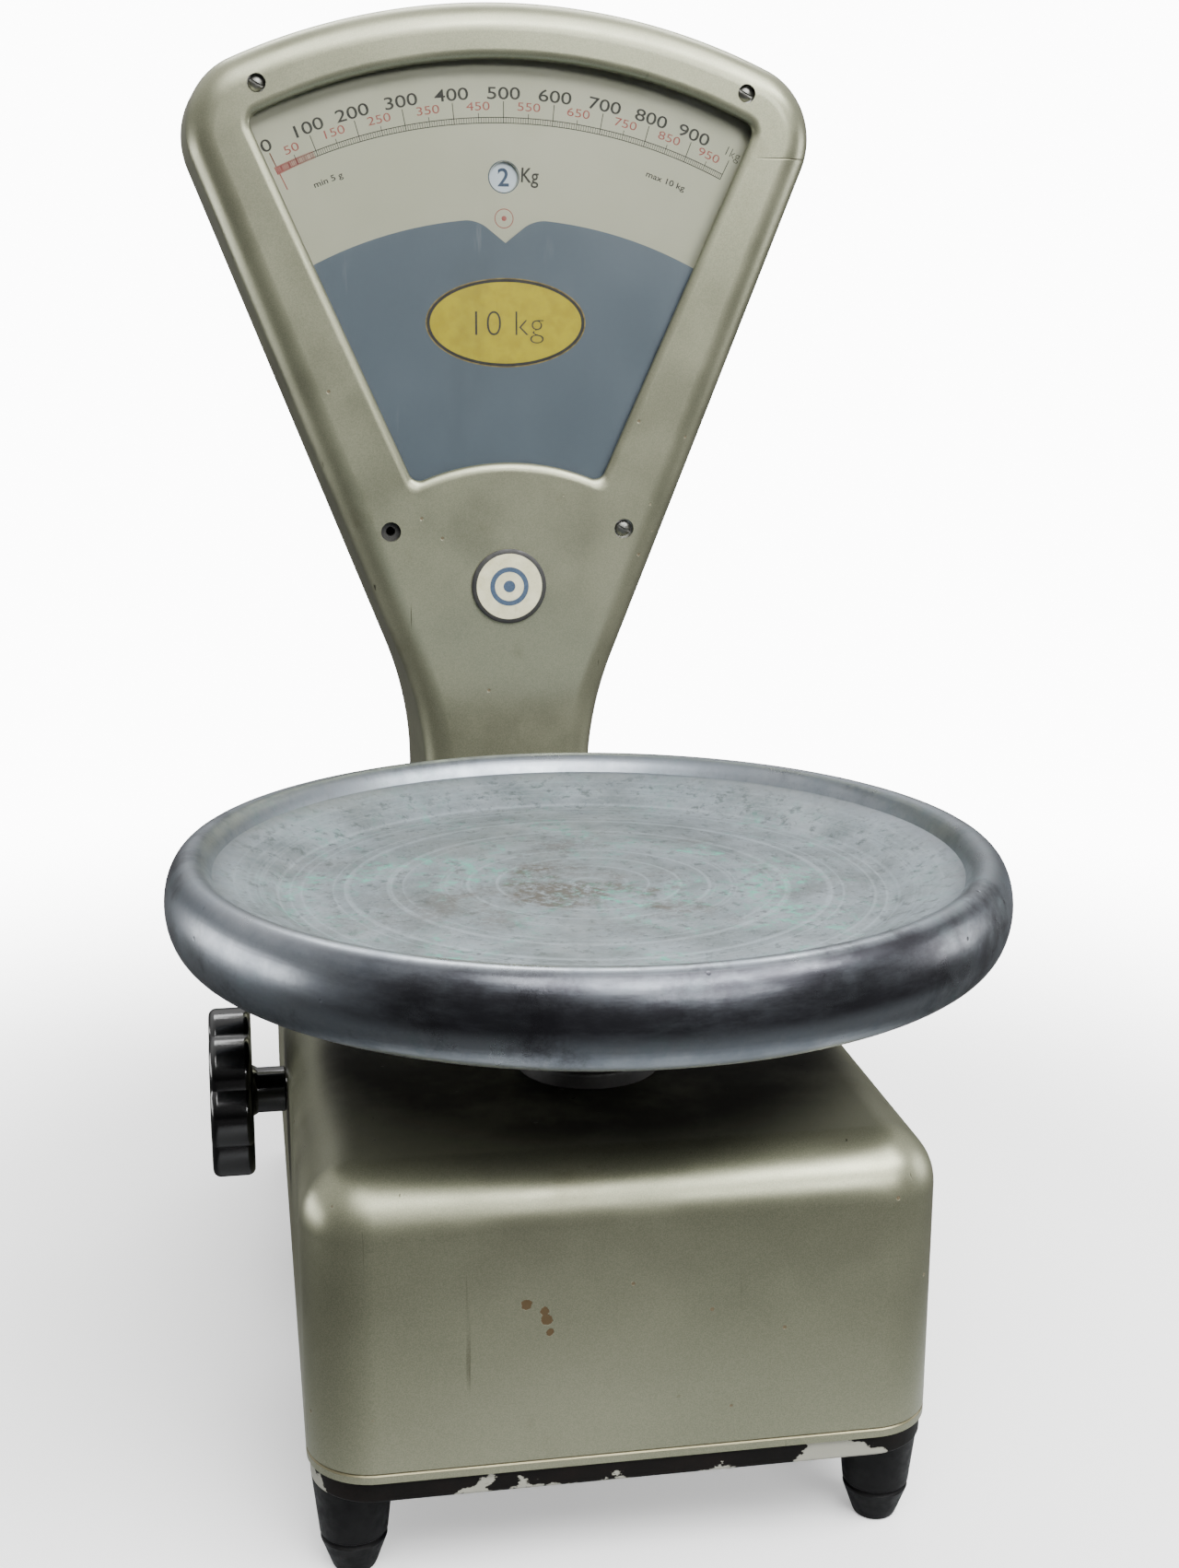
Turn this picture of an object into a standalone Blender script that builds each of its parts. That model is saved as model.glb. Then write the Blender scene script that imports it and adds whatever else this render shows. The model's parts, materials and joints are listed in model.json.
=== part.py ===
"""Counter weighing scale with a fan dial, a round pan and a side selector knob.

Metres, +Z up, +Y towards the back.  The origin lies on the floor, in the middle of the
scale's footprint.  The pan presses on the front of a lever whose heavy rear end rests on
a stop.  A load lifts that end, and a link then swings the pendulum and its pointer.  The
knob slides a poise along the lever and turns a number disc behind the chart.
"""
import math

import bmesh
import bpy
from mathutils import Vector

# Clearances, and how far a cutter runs past the piece that it cuts
GAP = 0.0003
RUN_GAP = 0.0006
OVERRUN = 0.002

# How finely round forms are divided
PAN_SEGMENTS = 48
TURNED_SEGMENTS = 20
SMALL_SEGMENTS = 12
FILLET_STEPS = 3
SMOOTH_ANGLE = math.radians(35)

# Pan
PAN_RADIUS = 0.150
PAN_FLOOR_TOP = 0.2193
PAN_WALL = 0.0035
PAN_RIM_BULGE = 0.0092
PAN_RIM_RADIUS = 0.0160
PAN_WELL_RADIUS = 0.113
PAN_WELL_FILLET = 0.005
PAN_RIM_START = math.radians(-96)
PAN_RIM_END = math.radians(144)
PAN_RIM_STEPS = 10

# Base casting, its cover and the feet
BASE_WIDTH = 0.217
BASE_DEPTH = 0.3874
PAN_SETBACK = 0.0924
FOOT_HEIGHT = 0.0355
FOOT_TOP_RADIUS = 0.0140
FOOT_WAIST_RADIUS = 0.0117
FOOT_BOTTOM_RADIUS = 0.0079
FOOT_EDGE = 0.0015
FOOT_GROOVE_RADIUS = 0.0106
FOOT_GROOVE_HEIGHT = 0.0120
FOOT_GROOVE_WIDTH = 0.0016
FOOT_SIDE_INSET = 0.0154
FOOT_END_INSET = 0.0228
FLANGE_HEIGHT = 0.0075
FLANGE_INSET = 0.0012
FLANGE_FLOOR = 0.004
FLANGE_RIM = 0.006
COVER_HEIGHT = 0.1067
COVER_WALL = 0.003
COVER_CORNER = 0.023
COVER_EDGE = 0.0205
COVER_SEAM_HEIGHT = 0.0030
COVER_SEAM_WIDTH = 0.0007
COVER_SEAM_DEPTH = 0.0007

# Fan housing, seen from the front
HOUSING_HEIGHT = 0.3955
HOUSING_DEPTH = 0.062
HOUSING_WALL = 0.003
HOUSING_EDGE = 0.0105
HOUSING_DRAFT = 0.0028
FACE_SETBACK = 0.210
HEAD_ARC = 0.284
HEAD_CORNER = 0.0325
SIDE_ANGLE = math.radians(21.4)
NECK_HALF = 0.0379
NECK_RISE = 0.0856
NECK_FILLET = 0.160
FLARE_RADIUS = 0.080
FLARE_HEIGHT = 0.048
THROAT_HALF = 0.028
THROAT_FRONT = 0.008
THROAT_REAR = 0.058
BACK_COVER_THICKNESS = 0.0025
BACK_COVER_EDGE = 0.0012

# Dial
PIVOT_DROP = 0.2717
WINDOW_ARC = 0.248
WINDOW_ANGLE = math.radians(23.9)
WINDOW_FOOT_HALF = 0.0115
WINDOW_SILL_RISE = 0.0779
WINDOW_SILL_ARC = 0.100
WINDOW_CORNER = 0.005
WINDOW_LIP = 0.0042
WINDOW_LIP_DEPTH = 0.0024
GLASS_THICKNESS = 0.002
GLASS_LAP = 0.0040
MASK_THICKNESS = 0.0008
MASK_ARC = 0.1827
MASK_NOTCH_HALF = 0.0125
MASK_NOTCH_RADIUS = 0.1724
CHART_SETBACK = 0.0106
CHART_THICKNESS = 0.0012
CHART_INSET = 0.0046
CHART_FOOT_DROP = 0.010
NUMBER_WINDOW_RADIUS = 0.2003
NUMBER_HOLE_RADIUS = 0.0064
BADGE_RISE = 0.0230
BADGE_RADIUS = 0.0168
BADGE_THICKNESS = 0.0014

# Case posts and the screws in them
TOP_POST_OUTSET = 0.0022
TOP_POST_RISE = 0.0189
TOP_POST_SETBACK_SHARE = 0.38
LOW_POST_INSET = 0.0191
LOW_POST_RISE = 0.0480
TOP_POST_RADIUS = 0.0050
LOW_POST_RADIUS = 0.0062
POST_SPIGOT_RADIUS = 0.0033
POST_BORE_RADIUS = 0.0021
POST_BORE_DEPTH = 0.012
TOP_HOLE_RADIUS = 0.0039
LOW_HOLE_RADIUS = 0.0044
SCREW_HEAD_RADIUS = 0.0034
SCREW_HEAD_HEIGHT = 0.0022
SCREW_SHANK_RADIUS = 0.0018
SCREW_LENGTH = 0.009

# Lever: places along it are measured from the fulcrum
LOAD_ARM = 0.045
LINK_ARM = 0.195
LEVER_RISE = 0.0245
LEVER_THICKNESS = 0.008
LEVER_HALF_DEPTH = 0.0065
LEVER_DEEP = 0.013
LEVER_END_ROUND = 0.004
LEVER_FRONT_REACH = 0.011
LEVER_REAR_REACH = 0.009
LEVER_TAPER_REACH = 0.028
KNIFE_HALF_WIDTH = 0.004
KNIFE_HEIGHT = 0.007
KNIFE_LENGTH = 0.032
LINK_PIN_RADIUS = 0.0025
LINK_PIN_LENGTH = 0.034
COUNTERWEIGHT_LENGTH = 0.030
COUNTERWEIGHT_WIDTH = 0.046
COUNTERWEIGHT_TOP = 0.014
COUNTERWEIGHT_DROP = 0.013
COUNTERWEIGHT_ARM = 0.159
COUNTERWEIGHT_ROUND = 0.003
STOP_RADIUS = 0.004
STOP_HEAD_RADIUS = 0.006
STOP_HEAD_HEIGHT = 0.003
STOP_ARM = 0.1815

# Fulcrum cheeks and check link
CHEEK_THICKNESS = 0.005
CHEEK_CLEAR = 0.004
CHEEK_FOOT_HALF = 0.019
CHEEK_TOP_HALF = 0.009
CHEEK_FOOT_HEIGHT = 0.008
CHEEK_WAIST_HALF = 0.013
BEARING_HALF = 0.0075
BEARING_RISE = 0.0135
BEARING_SLOPE = 0.0055
CHECK_RISE = 0.041
CHECK_THICKNESS = 0.008
CHECK_NECK_HALF = 0.0035
CHECK_ARM_WIDTH = 0.005
CHECK_ARM_REACH = 0.008
CHECK_BRIDGE = 0.006
CHECK_PIN_RADIUS = 0.002
CHECK_EYE_MARGIN = 0.006

# Carrier: the spider, stem and stirrup that carry the pan
SPIDER_REACH = 0.098
SPIDER_ROOT_HALF = 0.0095
SPIDER_TIP_HALF = 0.0060
SPIDER_THICKNESS = 0.0095
SPIDER_WEB = 0.006
STEM_RADIUS = 0.008
STEM_FLANGE_RADIUS = 0.014
STEM_FLANGE_HEIGHT = 0.004
STEM_SPIGOT_RADIUS = 0.005
STIRRUP_HALF_WIDTH = 0.012
STIRRUP_LEG = 0.004
STIRRUP_LENGTH = 0.024
STIRRUP_TOP_RISE = 0.024
STIRRUP_ROOF = 0.010
STIRRUP_DROP = 0.014
STIRRUP_WINDOW_DROP = 0.0115
COLLAR_RADIUS = 0.026
COLLAR_BORE = 0.012
COLLAR_HEIGHT = 0.006
COLLAR_SPIGOT_RADIUS = 0.0195
COLLAR_EDGE = 0.0015
PISTON_THICKNESS = 0.0024
PISTON_RADIUS = 0.0192
CUP_WALL = 0.0028
CUP_FLOOR = 0.0016
CUP_HEIGHT = 0.0105

# Pendulum and pointer, at rest against the left end of their swing
PENDULUM_SWING = math.radians(57)
CRANK_RADIUS = 0.022
CRANK_SETBACK = 0.022
CRANK_THICKNESS = 0.003
CRANK_EYE_RADIUS = 0.0065
CRANK_PIN_EYE_RADIUS = 0.0040
CRANK_PIN_RADIUS = 0.002
CRANK_PIN_LENGTH = 0.0085
ARBOR_RADIUS = 0.0025
ARBOR_COLLAR_RADIUS = 0.0055
ARBOR_COLLAR_LENGTH = 0.0016
POINTER_SETBACK = 0.0080
POINTER_THICKNESS = 0.0008
POINTER_LENGTH = 0.222
POINTER_HUB_RADIUS = 0.0075
POINTER_ROOT_HALF = 0.0030
POINTER_TIP_HALF = 0.0006
POINTER_TAIL = 0.016
BOB_ARM = 0.040
BOB_RADIUS = 0.0135
BOB_THICKNESS = 0.009
BOB_SETBACK = 0.0102
BOB_STALK_HALF = 0.003
BOB_HUB_RADIUS = 0.0065
BRACKET_SETBACK = 0.035
BRACKET_THICKNESS = 0.006
BRACKET_HALF_HEIGHT = 0.007
BRACKET_EYE_RADIUS = 0.011
LINK_SETBACK = 0.028
LINK_THICKNESS = 0.003
LINK_BAR_HALF = 0.003
LINK_HEAD_HALF = 0.0075
LINK_HEAD_HEIGHT = 0.0065
LINK_FOOT_HALF = 0.0075
LINK_FOOT_WIDTH_HALF = 0.0035
LINK_NECK = 0.010
LINK_SLOT_REACH = 0.0018

# Selector: knob, shafts, racks and number disc
KNOB_SETBACK = 0.080
KNOB_Z = 0.115
KNOB_RADIUS = 0.0345
KNOB_THICKNESS = 0.0165
KNOB_LOBES = 8
KNOB_LOBE_DEPTH = 0.0034
KNOB_LOBE_POINTS = 6
KNOB_EDGE_STEPS = 2
KNOB_EDGE = 0.0030
KNOB_DISH = 0.0012
KNOB_DISH_SHARE = 0.62
KNOB_HUB_RADIUS = 0.009
KNOB_HUB_LENGTH = 0.0130
KNOB_BORE_DEPTH = 0.018
SETTING_ANGLE = math.radians(36)
SETTINGS_BELOW_REST = 2
SETTINGS_ABOVE_REST = 7
SHAFT_RADIUS = 0.004
GEAR_TEETH = 16
POISE_MODULE = 0.00125
BEVEL_MODULE = 0.0015
NUMBER_MODULE = 0.001
TIP_SHARE = 0.80
ROOT_SHARE = 1.25
TOOTH_SHARE = 0.33
TOOTH_SLOPE_SHARE = 0.34
GEAR_WIDTH = 0.008
BEVEL_WIDTH = 0.005
BUSH_RADIUS = 0.0058
BUSH_FLANGE_RADIUS = 0.009
BUSH_FLANGE = 0.002
BUSH_LENGTH = 0.012
POISE_RACK_X = 0.042
POISE_RACK_WIDTH = 0.006
POISE_RACK_DEPTH = 0.0065
POISE_SETBACK = 0.1305
POISE_LENGTH = 0.026
POISE_HALF_WIDTH = 0.012
POISE_TOP = 0.012
POISE_DROP = 0.009
POISE_PIN_RADIUS = 0.002
TAB_HALF = 0.0072
TAB_DROP = 0.0085
TAB_SLOT_HALF = 0.0034
TAB_SLOT_DROP = 0.0034
TAB_SLOT_RISE = 0.0185
GUIDE_HALF_LENGTH = 0.009
GUIDE_WALL = 0.004
GUIDE_CHEEK = 0.004
STAND_THICKNESS = 0.006
STAND_HALF = 0.012
STAND_TOP_HALF = 0.009
STAND_X = 0.025
PORTAL_CLEAR = 0.0018
PORTAL_LEG_INNER = 0.017
PORTAL_LEG = 0.006
PORTAL_ROOF_DROP = 0.009
REAR_STAND_CLEAR = 0.0018
NUMBER_RACK_SETBACK = 0.050
NUMBER_RACK_WIDTH = 0.006
NUMBER_RACK_DEPTH = 0.0065
NUMBER_DISC_RADIUS = 0.038
NUMBER_DISC_THICKNESS = 0.0012
NUMBER_RING_RADIUS = 0.030
NUMBER_DISC_CLEAR = 0.0006
DISC_BUSH_RADIUS = 0.007
DISC_BUSH_FLANGE_RADIUS = 0.012
DISC_BUSH_FLANGE = 0.002
RACK_GUIDE_RISE = 0.086
RACK_GUIDE_HEIGHT = 0.014
RACK_GUIDE_WALL = 0.0045
RACK_GUIDE_LAP = 0.004

# Places that follow from the sizes above
OVERALL_DEPTH = BASE_DEPTH - PAN_SETBACK + PAN_RADIUS
BASE_REAR = OVERALL_DEPTH / 2
BASE_FRONT = BASE_REAR - BASE_DEPTH
BASE_MIDDLE_Y = (BASE_FRONT + BASE_REAR) / 2
PAN_Y = BASE_FRONT + PAN_SETBACK
FACE_Y = PAN_Y + FACE_SETBACK
HOUSING_REAR = FACE_Y + HOUSING_DEPTH
FLANGE_TOP = FOOT_HEIGHT + FLANGE_HEIGHT
FLOOR_Z = FOOT_HEIGHT + FLANGE_FLOOR + GAP
COVER_BOTTOM = FLANGE_TOP + GAP
COVER_TOP = COVER_BOTTOM + COVER_HEIGHT
HOUSING_BOTTOM = COVER_TOP + GAP
HOUSING_TOP = HOUSING_BOTTOM + HOUSING_HEIGHT
PIVOT_Z = HOUSING_TOP - PIVOT_DROP
LEVER_Z = FLOOR_Z + LEVER_RISE
FULCRUM_Y = PAN_Y + LOAD_ARM
LINK_Y = FULCRUM_Y + LINK_ARM
CHECK_Z = LEVER_Z + CHECK_RISE
KNOB_Y = PAN_Y + KNOB_SETBACK
NUMBER_AXIS_Z = PIVOT_Z + NUMBER_WINDOW_RADIUS - NUMBER_RING_RADIUS
POISE_Y = PAN_Y + POISE_SETBACK
PENDULUM_REST = -PENDULUM_SWING / 2
CRANK_PIN_X = -CRANK_RADIUS * math.cos(PENDULUM_SWING / 2)
CRANK_PIN_Z = PIVOT_Z - CRANK_RADIUS * math.sin(PENDULUM_SWING / 2)
LINK_X = -CRANK_RADIUS * (1 + math.cos(PENDULUM_SWING / 2)) / 2
POISE_PITCH_RADIUS = POISE_MODULE * GEAR_TEETH / 2
BEVEL_PITCH_RADIUS = BEVEL_MODULE * GEAR_TEETH / 2
NUMBER_PITCH_RADIUS = NUMBER_MODULE * GEAR_TEETH / 2
KNOB_BACK = SETTING_ANGLE * SETTINGS_BELOW_REST
KNOB_AHEAD = SETTING_ANGLE * SETTINGS_ABOVE_REST
BASE_HALF = BASE_WIDTH / 2


def clear_scene():
    """Remove every object that the scene already holds."""
    for item in list(bpy.data.objects):
        bpy.data.objects.remove(item, do_unlink=True)


def make_material(name, colour, roughness, metallic):
    """Return a Principled material with one colour."""
    material = bpy.data.materials.new(name)
    material.use_nodes = True
    shader = material.node_tree.nodes["Principled BSDF"]
    shader.inputs["Base Color"].default_value = (*colour, 1.0)
    shader.inputs["Roughness"].default_value = roughness
    shader.inputs["Metallic"].default_value = metallic
    return material


def make_materials():
    """Return the part's materials by name."""
    return {
        "gold_paint": make_material("gold_paint", (0.36, 0.35, 0.25), 0.32, 0.75),
        "black_iron": make_material("black_iron", (0.045, 0.04, 0.035), 0.6, 0.0),
        "rubber": make_material("rubber", (0.025, 0.025, 0.025), 0.8, 0.0),
        "cast_aluminium": make_material("cast_aluminium", (0.42, 0.45, 0.48), 0.38, 0.9),
        "steel": make_material("steel", (0.5, 0.5, 0.5), 0.35, 1.0),
        "iron": make_material("iron", (0.16, 0.16, 0.15), 0.55, 0.6),
        "brass": make_material("brass", (0.62, 0.48, 0.2), 0.3, 1.0),
        "bakelite": make_material("bakelite", (0.012, 0.012, 0.012), 0.18, 0.0),
        "glass": make_material("glass", (0.9, 0.93, 0.93), 0.05, 0.0),
        "mask_paint": make_material("mask_paint", (0.13, 0.16, 0.2), 0.4, 0.0),
        "chart_card": make_material("chart_card", (0.5, 0.49, 0.4), 0.6, 0.0),
        "badge_enamel": make_material("badge_enamel", (0.72, 0.68, 0.47), 0.35, 0.0),
        "black_paint": make_material("black_paint", (0.02, 0.02, 0.02), 0.4, 0.0),
    }


def add_object(name, mesh_builder, material, place=(0, 0, 0), parent=None):
    """Link a bmesh as a named object with one material and smooth round faces."""
    mesh = bpy.data.meshes.new(name)
    bmesh.ops.recalc_face_normals(mesh_builder, faces=mesh_builder.faces[:])
    mesh_builder.to_mesh(mesh)
    mesh_builder.free()
    mesh.shade_smooth()
    mesh.set_sharp_from_angle(angle=SMOOTH_ANGLE)
    item = bpy.data.objects.new(name, mesh)
    bpy.context.scene.collection.objects.link(item)
    item.location = place
    if parent is not None:
        item.parent = parent
    if material is not None:
        mesh.materials.append(material)
    return item


def add_axis(name, place, turn=(0, 0, 0)):
    """Link an empty that stands on a joint's axis."""
    empty = bpy.data.objects.new(name, None)
    bpy.context.scene.collection.objects.link(empty)
    empty.location = place
    empty.rotation_euler = turn
    return empty


def combine(target, tool, operation):
    """Join or cut the target with a hidden tool object."""
    tool.hide_render = True
    tool.display_type = "WIRE"
    modifier = target.modifiers.new(tool.name, "BOOLEAN")
    modifier.operation = operation
    modifier.solver = "EXACT"
    modifier.object = tool


def along(axis, u, v, w):
    """Return a point from two coordinates across an axis and one along it.

    The pair across X is (y, z), across Y it is (x, z) and across Z it is (x, y).
    """
    if axis == "X":
        return (w, u, v)
    if axis == "Y":
        return (u, w, v)
    return (u, v, w)


def loft(rings, axis):
    """Skin rings of equal count, each a list of points and a place along the axis."""
    builder = bmesh.new()
    skins = []
    for points, place in rings:
        skins.append([builder.verts.new(along(axis, u, v, place)) for u, v in points])
    for first, second in zip(skins, skins[1:]):
        for index in range(len(first)):
            after = (index + 1) % len(first)
            builder.faces.new((first[index], first[after], second[after], second[index]))
    builder.faces.new(skins[0])
    builder.faces.new(skins[-1])
    return builder


def prism(points, start, end, axis):
    """Extrude an outline along an axis."""
    builder = bmesh.new()
    face = builder.faces.new([builder.verts.new(along(axis, u, v, start)) for u, v in points])
    grown = bmesh.ops.extrude_face_region(builder, geom=[face])
    tops = [item for item in grown["geom"] if isinstance(item, bmesh.types.BMVert)]
    shift = Vector(along(axis, 0, 0, end - start))
    bmesh.ops.translate(builder, verts=tops, vec=shift)
    return builder


def turned(profile, axis, segments=TURNED_SEGMENTS):
    """Spin a closed profile of (radius, place) pairs round an axis through the origin."""
    builder = bmesh.new()
    corners = [builder.verts.new(along(axis, radius, 0, place)) for radius, place in profile]
    edges = []
    for index, corner in enumerate(corners):
        after = corners[(index + 1) % len(corners)]
        if profile[index][0] or profile[(index + 1) % len(corners)][0]:
            edges.append(builder.edges.new((corner, after)))
    direction = Vector(along(axis, 0, 0, 1))
    bmesh.ops.spin(builder, geom=corners + edges, cent=(0, 0, 0), axis=direction,
                   angle=2 * math.pi, steps=segments, use_merge=True)
    bmesh.ops.remove_doubles(builder, verts=builder.verts[:], dist=GAP / 100)
    return builder


def circle(radius, count, centre=(0, 0), start=0):
    """Return points round a circle."""
    points = []
    for index in range(count):
        angle = start + 2 * math.pi * index / count
        points.append((centre[0] + radius * math.cos(angle), centre[1] + radius * math.sin(angle)))
    return points


def rectangle(half_u, half_v, centre=(0, 0)):
    """Return the corners of a rectangle."""
    u, v = centre
    return [(u - half_u, v - half_v), (u + half_u, v - half_v),
            (u + half_u, v + half_v), (u - half_u, v + half_v)]


def rounded_rectangle(half_u, half_v, radius, steps, centre=(0, 0)):
    """Return points round a rectangle with arc corners."""
    points = []
    for corner in range(4):
        side_u = 1 if corner in (0, 3) else -1
        side_v = 1 if corner < 2 else -1
        for step in range(steps + 1):
            angle = (corner + step / steps) * math.pi / 2
            points.append((centre[0] + side_u * (half_u - radius) + radius * math.cos(angle),
                           centre[1] + side_v * (half_v - radius) + radius * math.sin(angle)))
    return points


def rounded_polygon(corners, steps=FILLET_STEPS):
    """Return a polygon whose corners (u, v, radius) are rounded by tangent arcs."""
    points = []
    for index, (u, v, radius) in enumerate(corners):
        here = Vector((u, v))
        if not radius:
            points.append((u, v))
            continue
        before = (Vector(corners[index - 1][:2]) - here).normalized()
        after = (Vector(corners[(index + 1) % len(corners)][:2]) - here).normalized()
        half = before.angle(after) / 2
        centre = here + (before + after).normalized() * radius / math.sin(half)
        first = here + before * radius / math.tan(half) - centre
        last = here + after * radius / math.tan(half) - centre
        sweep = first.angle_signed(last)
        for step in range(steps + 1):
            turn = -sweep * step / steps
            points.append((centre.x + first.x * math.cos(turn) - first.y * math.sin(turn),
                           centre.y + first.x * math.sin(turn) + first.y * math.cos(turn)))
    return points


def obround(half_length, radius, centre, steps=FILLET_STEPS):
    """Return a slot outline whose long side lies along the first coordinate."""
    points = []
    for side in (1, -1):
        for step in range(2 * steps + 1):
            angle = side * math.pi / 2 * (step / steps - 1)
            reach = side * half_length + side * radius * math.cos(angle)
            points.append((centre[0] + reach, centre[1] + radius * math.sin(angle)))
    return points


def dumbbell(first_radius, second_radius, half_bar, span, steps=FILLET_STEPS):
    """Return an outline of two round ends joined by a bar down the second coordinate."""
    points = []
    for radius, middle, side in ((first_radius, 0, 1), (second_radius, -span, -1)):
        lean = math.asin(half_bar / radius)
        for step in range(4 * steps + 1):
            angle = -math.pi / 2 + lean + (2 * math.pi - 2 * lean) * step / (4 * steps)
            points.append((side * radius * math.cos(angle), middle + side * radius * math.sin(angle)))
    return points


def cut_hole(target, name, radius, centre, span, axis, segments=SMALL_SEGMENTS):
    """Bore a round hole along an axis between two places."""
    tool = add_object(name, prism(circle(radius, segments, centre), span[0], span[1], axis), None)
    combine(target, tool, "DIFFERENCE")


def gear_ring(module, scale=1):
    """Return the outline of a spur gear with a tooth on the first coordinate's axis."""
    points = []
    pitch_radius = module * GEAR_TEETH / 2
    pitch_angle = 2 * math.pi / GEAR_TEETH
    half_tip = pitch_angle * (TOOTH_SHARE / 2 - TIP_SHARE * TOOTH_SLOPE_SHARE / (2 * math.pi) / 2)
    half_root = pitch_angle * (TOOTH_SHARE / 2 + ROOT_SHARE * TOOTH_SLOPE_SHARE / (2 * math.pi) / 2)
    tip = (pitch_radius + module * TIP_SHARE) * scale
    root = (pitch_radius - module * ROOT_SHARE) * scale
    for tooth in range(GEAR_TEETH):
        middle = tooth * pitch_angle
        for radius, angle in ((root, -half_root), (tip, -half_tip), (tip, half_tip), (root, half_root)):
            points.append((radius * math.cos(middle + angle), radius * math.sin(middle + angle)))
    return points


def turn_ring(points, angle):
    """Turn an outline about its own origin."""
    cosine = math.cos(angle)
    sine = math.sin(angle)
    return [(u * cosine - v * sine, u * sine + v * cosine) for u, v in points]


def rack_teeth(module, first, last, middle):
    """Return a toothed edge as (place, height) pairs with a gap at the middle.

    The height is measured from the pitch line.
    """
    pitch = math.pi * module
    half_tip = pitch * TOOTH_SHARE / 2 - module * TIP_SHARE * TOOTH_SLOPE_SHARE
    half_root = pitch * TOOTH_SHARE / 2 + module * ROOT_SHARE * TOOTH_SLOPE_SHARE / 2
    points = []
    start = math.ceil((first - middle) / pitch)
    for index in range(start, int((last - middle) / pitch)):
        centre = middle + (index + 1 / 2) * pitch
        points += [(centre - half_root, -module * ROOT_SHARE), (centre - half_tip, module * TIP_SHARE),
                   (centre + half_tip, module * TIP_SHARE), (centre + half_root, -module * ROOT_SHARE)]
    return points


def pan_profile():
    """Return the pan's section: a flat floor and a rolled, hollow rim, taller than wide."""
    centre_r = PAN_RADIUS - PAN_RIM_BULGE
    centre_z = PAN_FLOOR_TOP
    underside = PAN_FLOOR_TOP - PAN_WALL
    hollow_r = PAN_RIM_BULGE - PAN_WALL
    hollow_z = PAN_RIM_RADIUS - PAN_WALL
    outer = []
    inner = []
    for step in range(PAN_RIM_STEPS + 1):
        angle = PAN_RIM_START + (PAN_RIM_END - PAN_RIM_START) * step / PAN_RIM_STEPS
        outer.append((centre_r + PAN_RIM_BULGE * math.cos(angle),
                      centre_z + PAN_RIM_RADIUS * math.sin(angle)))
        if step % 2 == 0:
            inner.append((centre_r + hollow_r * math.cos(angle), centre_z + hollow_z * math.sin(angle)))
    well = PAN_WELL_RADIUS
    floor = [(well, PAN_FLOOR_TOP + PAN_WELL_FILLET / 2), (well - PAN_WELL_FILLET, PAN_FLOOR_TOP),
             (0, PAN_FLOOR_TOP)]
    under = [(0, underside), (well - PAN_WELL_FILLET / 2, underside),
             (well + PAN_WELL_FILLET / 2, underside + PAN_WELL_FILLET / 2)]
    return outer + floor + under + inner[::-1]


def build_pan(look):
    """Make the lift-off round pan."""
    builder = turned(pan_profile(), "Z", PAN_SEGMENTS)
    add_object("pan", builder, look["cast_aluminium"], (0, PAN_Y, 0))


def foot_profile():
    """Return a tapered rubber foot with a groove, top face last."""
    groove_top = FOOT_GROOVE_HEIGHT + FOOT_GROOVE_WIDTH
    top = FOOT_HEIGHT - GAP
    return [(0, 0), (FOOT_BOTTOM_RADIUS - FOOT_EDGE, 0), (FOOT_BOTTOM_RADIUS, FOOT_EDGE),
            (FOOT_WAIST_RADIUS, FOOT_GROOVE_HEIGHT), (FOOT_GROOVE_RADIUS, FOOT_GROOVE_HEIGHT),
            (FOOT_GROOVE_RADIUS, groove_top), (FOOT_WAIST_RADIUS, groove_top),
            (FOOT_TOP_RADIUS, top), (0, top)]


def build_feet(look):
    """Make the four rubber feet under the base casting."""
    front = BASE_FRONT + FOOT_END_INSET
    rear = BASE_REAR - FOOT_END_INSET
    side = BASE_HALF - FOOT_SIDE_INSET
    places = {"foot_front_left": (-side, front), "foot_front_right": (side, front),
              "foot_rear_left": (-side, rear), "foot_rear_right": (side, rear)}
    for name, (x, y) in places.items():
        add_object(name, turned(foot_profile(), "Z", SMALL_SEGMENTS), look["rubber"], (x, y, 0))


def base_ring(inset, corner):
    """Return the base's plan outline, drawn in from the cover's outer wall."""
    half_y = BASE_DEPTH / 2 - inset
    return rounded_rectangle(BASE_HALF - inset, half_y, corner, FILLET_STEPS, (0, BASE_MIDDLE_Y))


def build_base_casting(look):
    """Make the black tray that closes the base from below and carries the works."""
    corner = COVER_CORNER - FLANGE_INSET
    inner = FLANGE_INSET + FLANGE_RIM
    tray = [(base_ring(FLANGE_INSET, corner), FOOT_HEIGHT),
            (base_ring(FLANGE_INSET, corner), FLANGE_TOP),
            (base_ring(inner, COVER_CORNER - inner), FLANGE_TOP),
            (base_ring(inner, COVER_CORNER - inner), FOOT_HEIGHT + FLANGE_FLOOR)]
    add_object("base_casting", loft(tray, "Z"), look["black_iron"])


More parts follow.
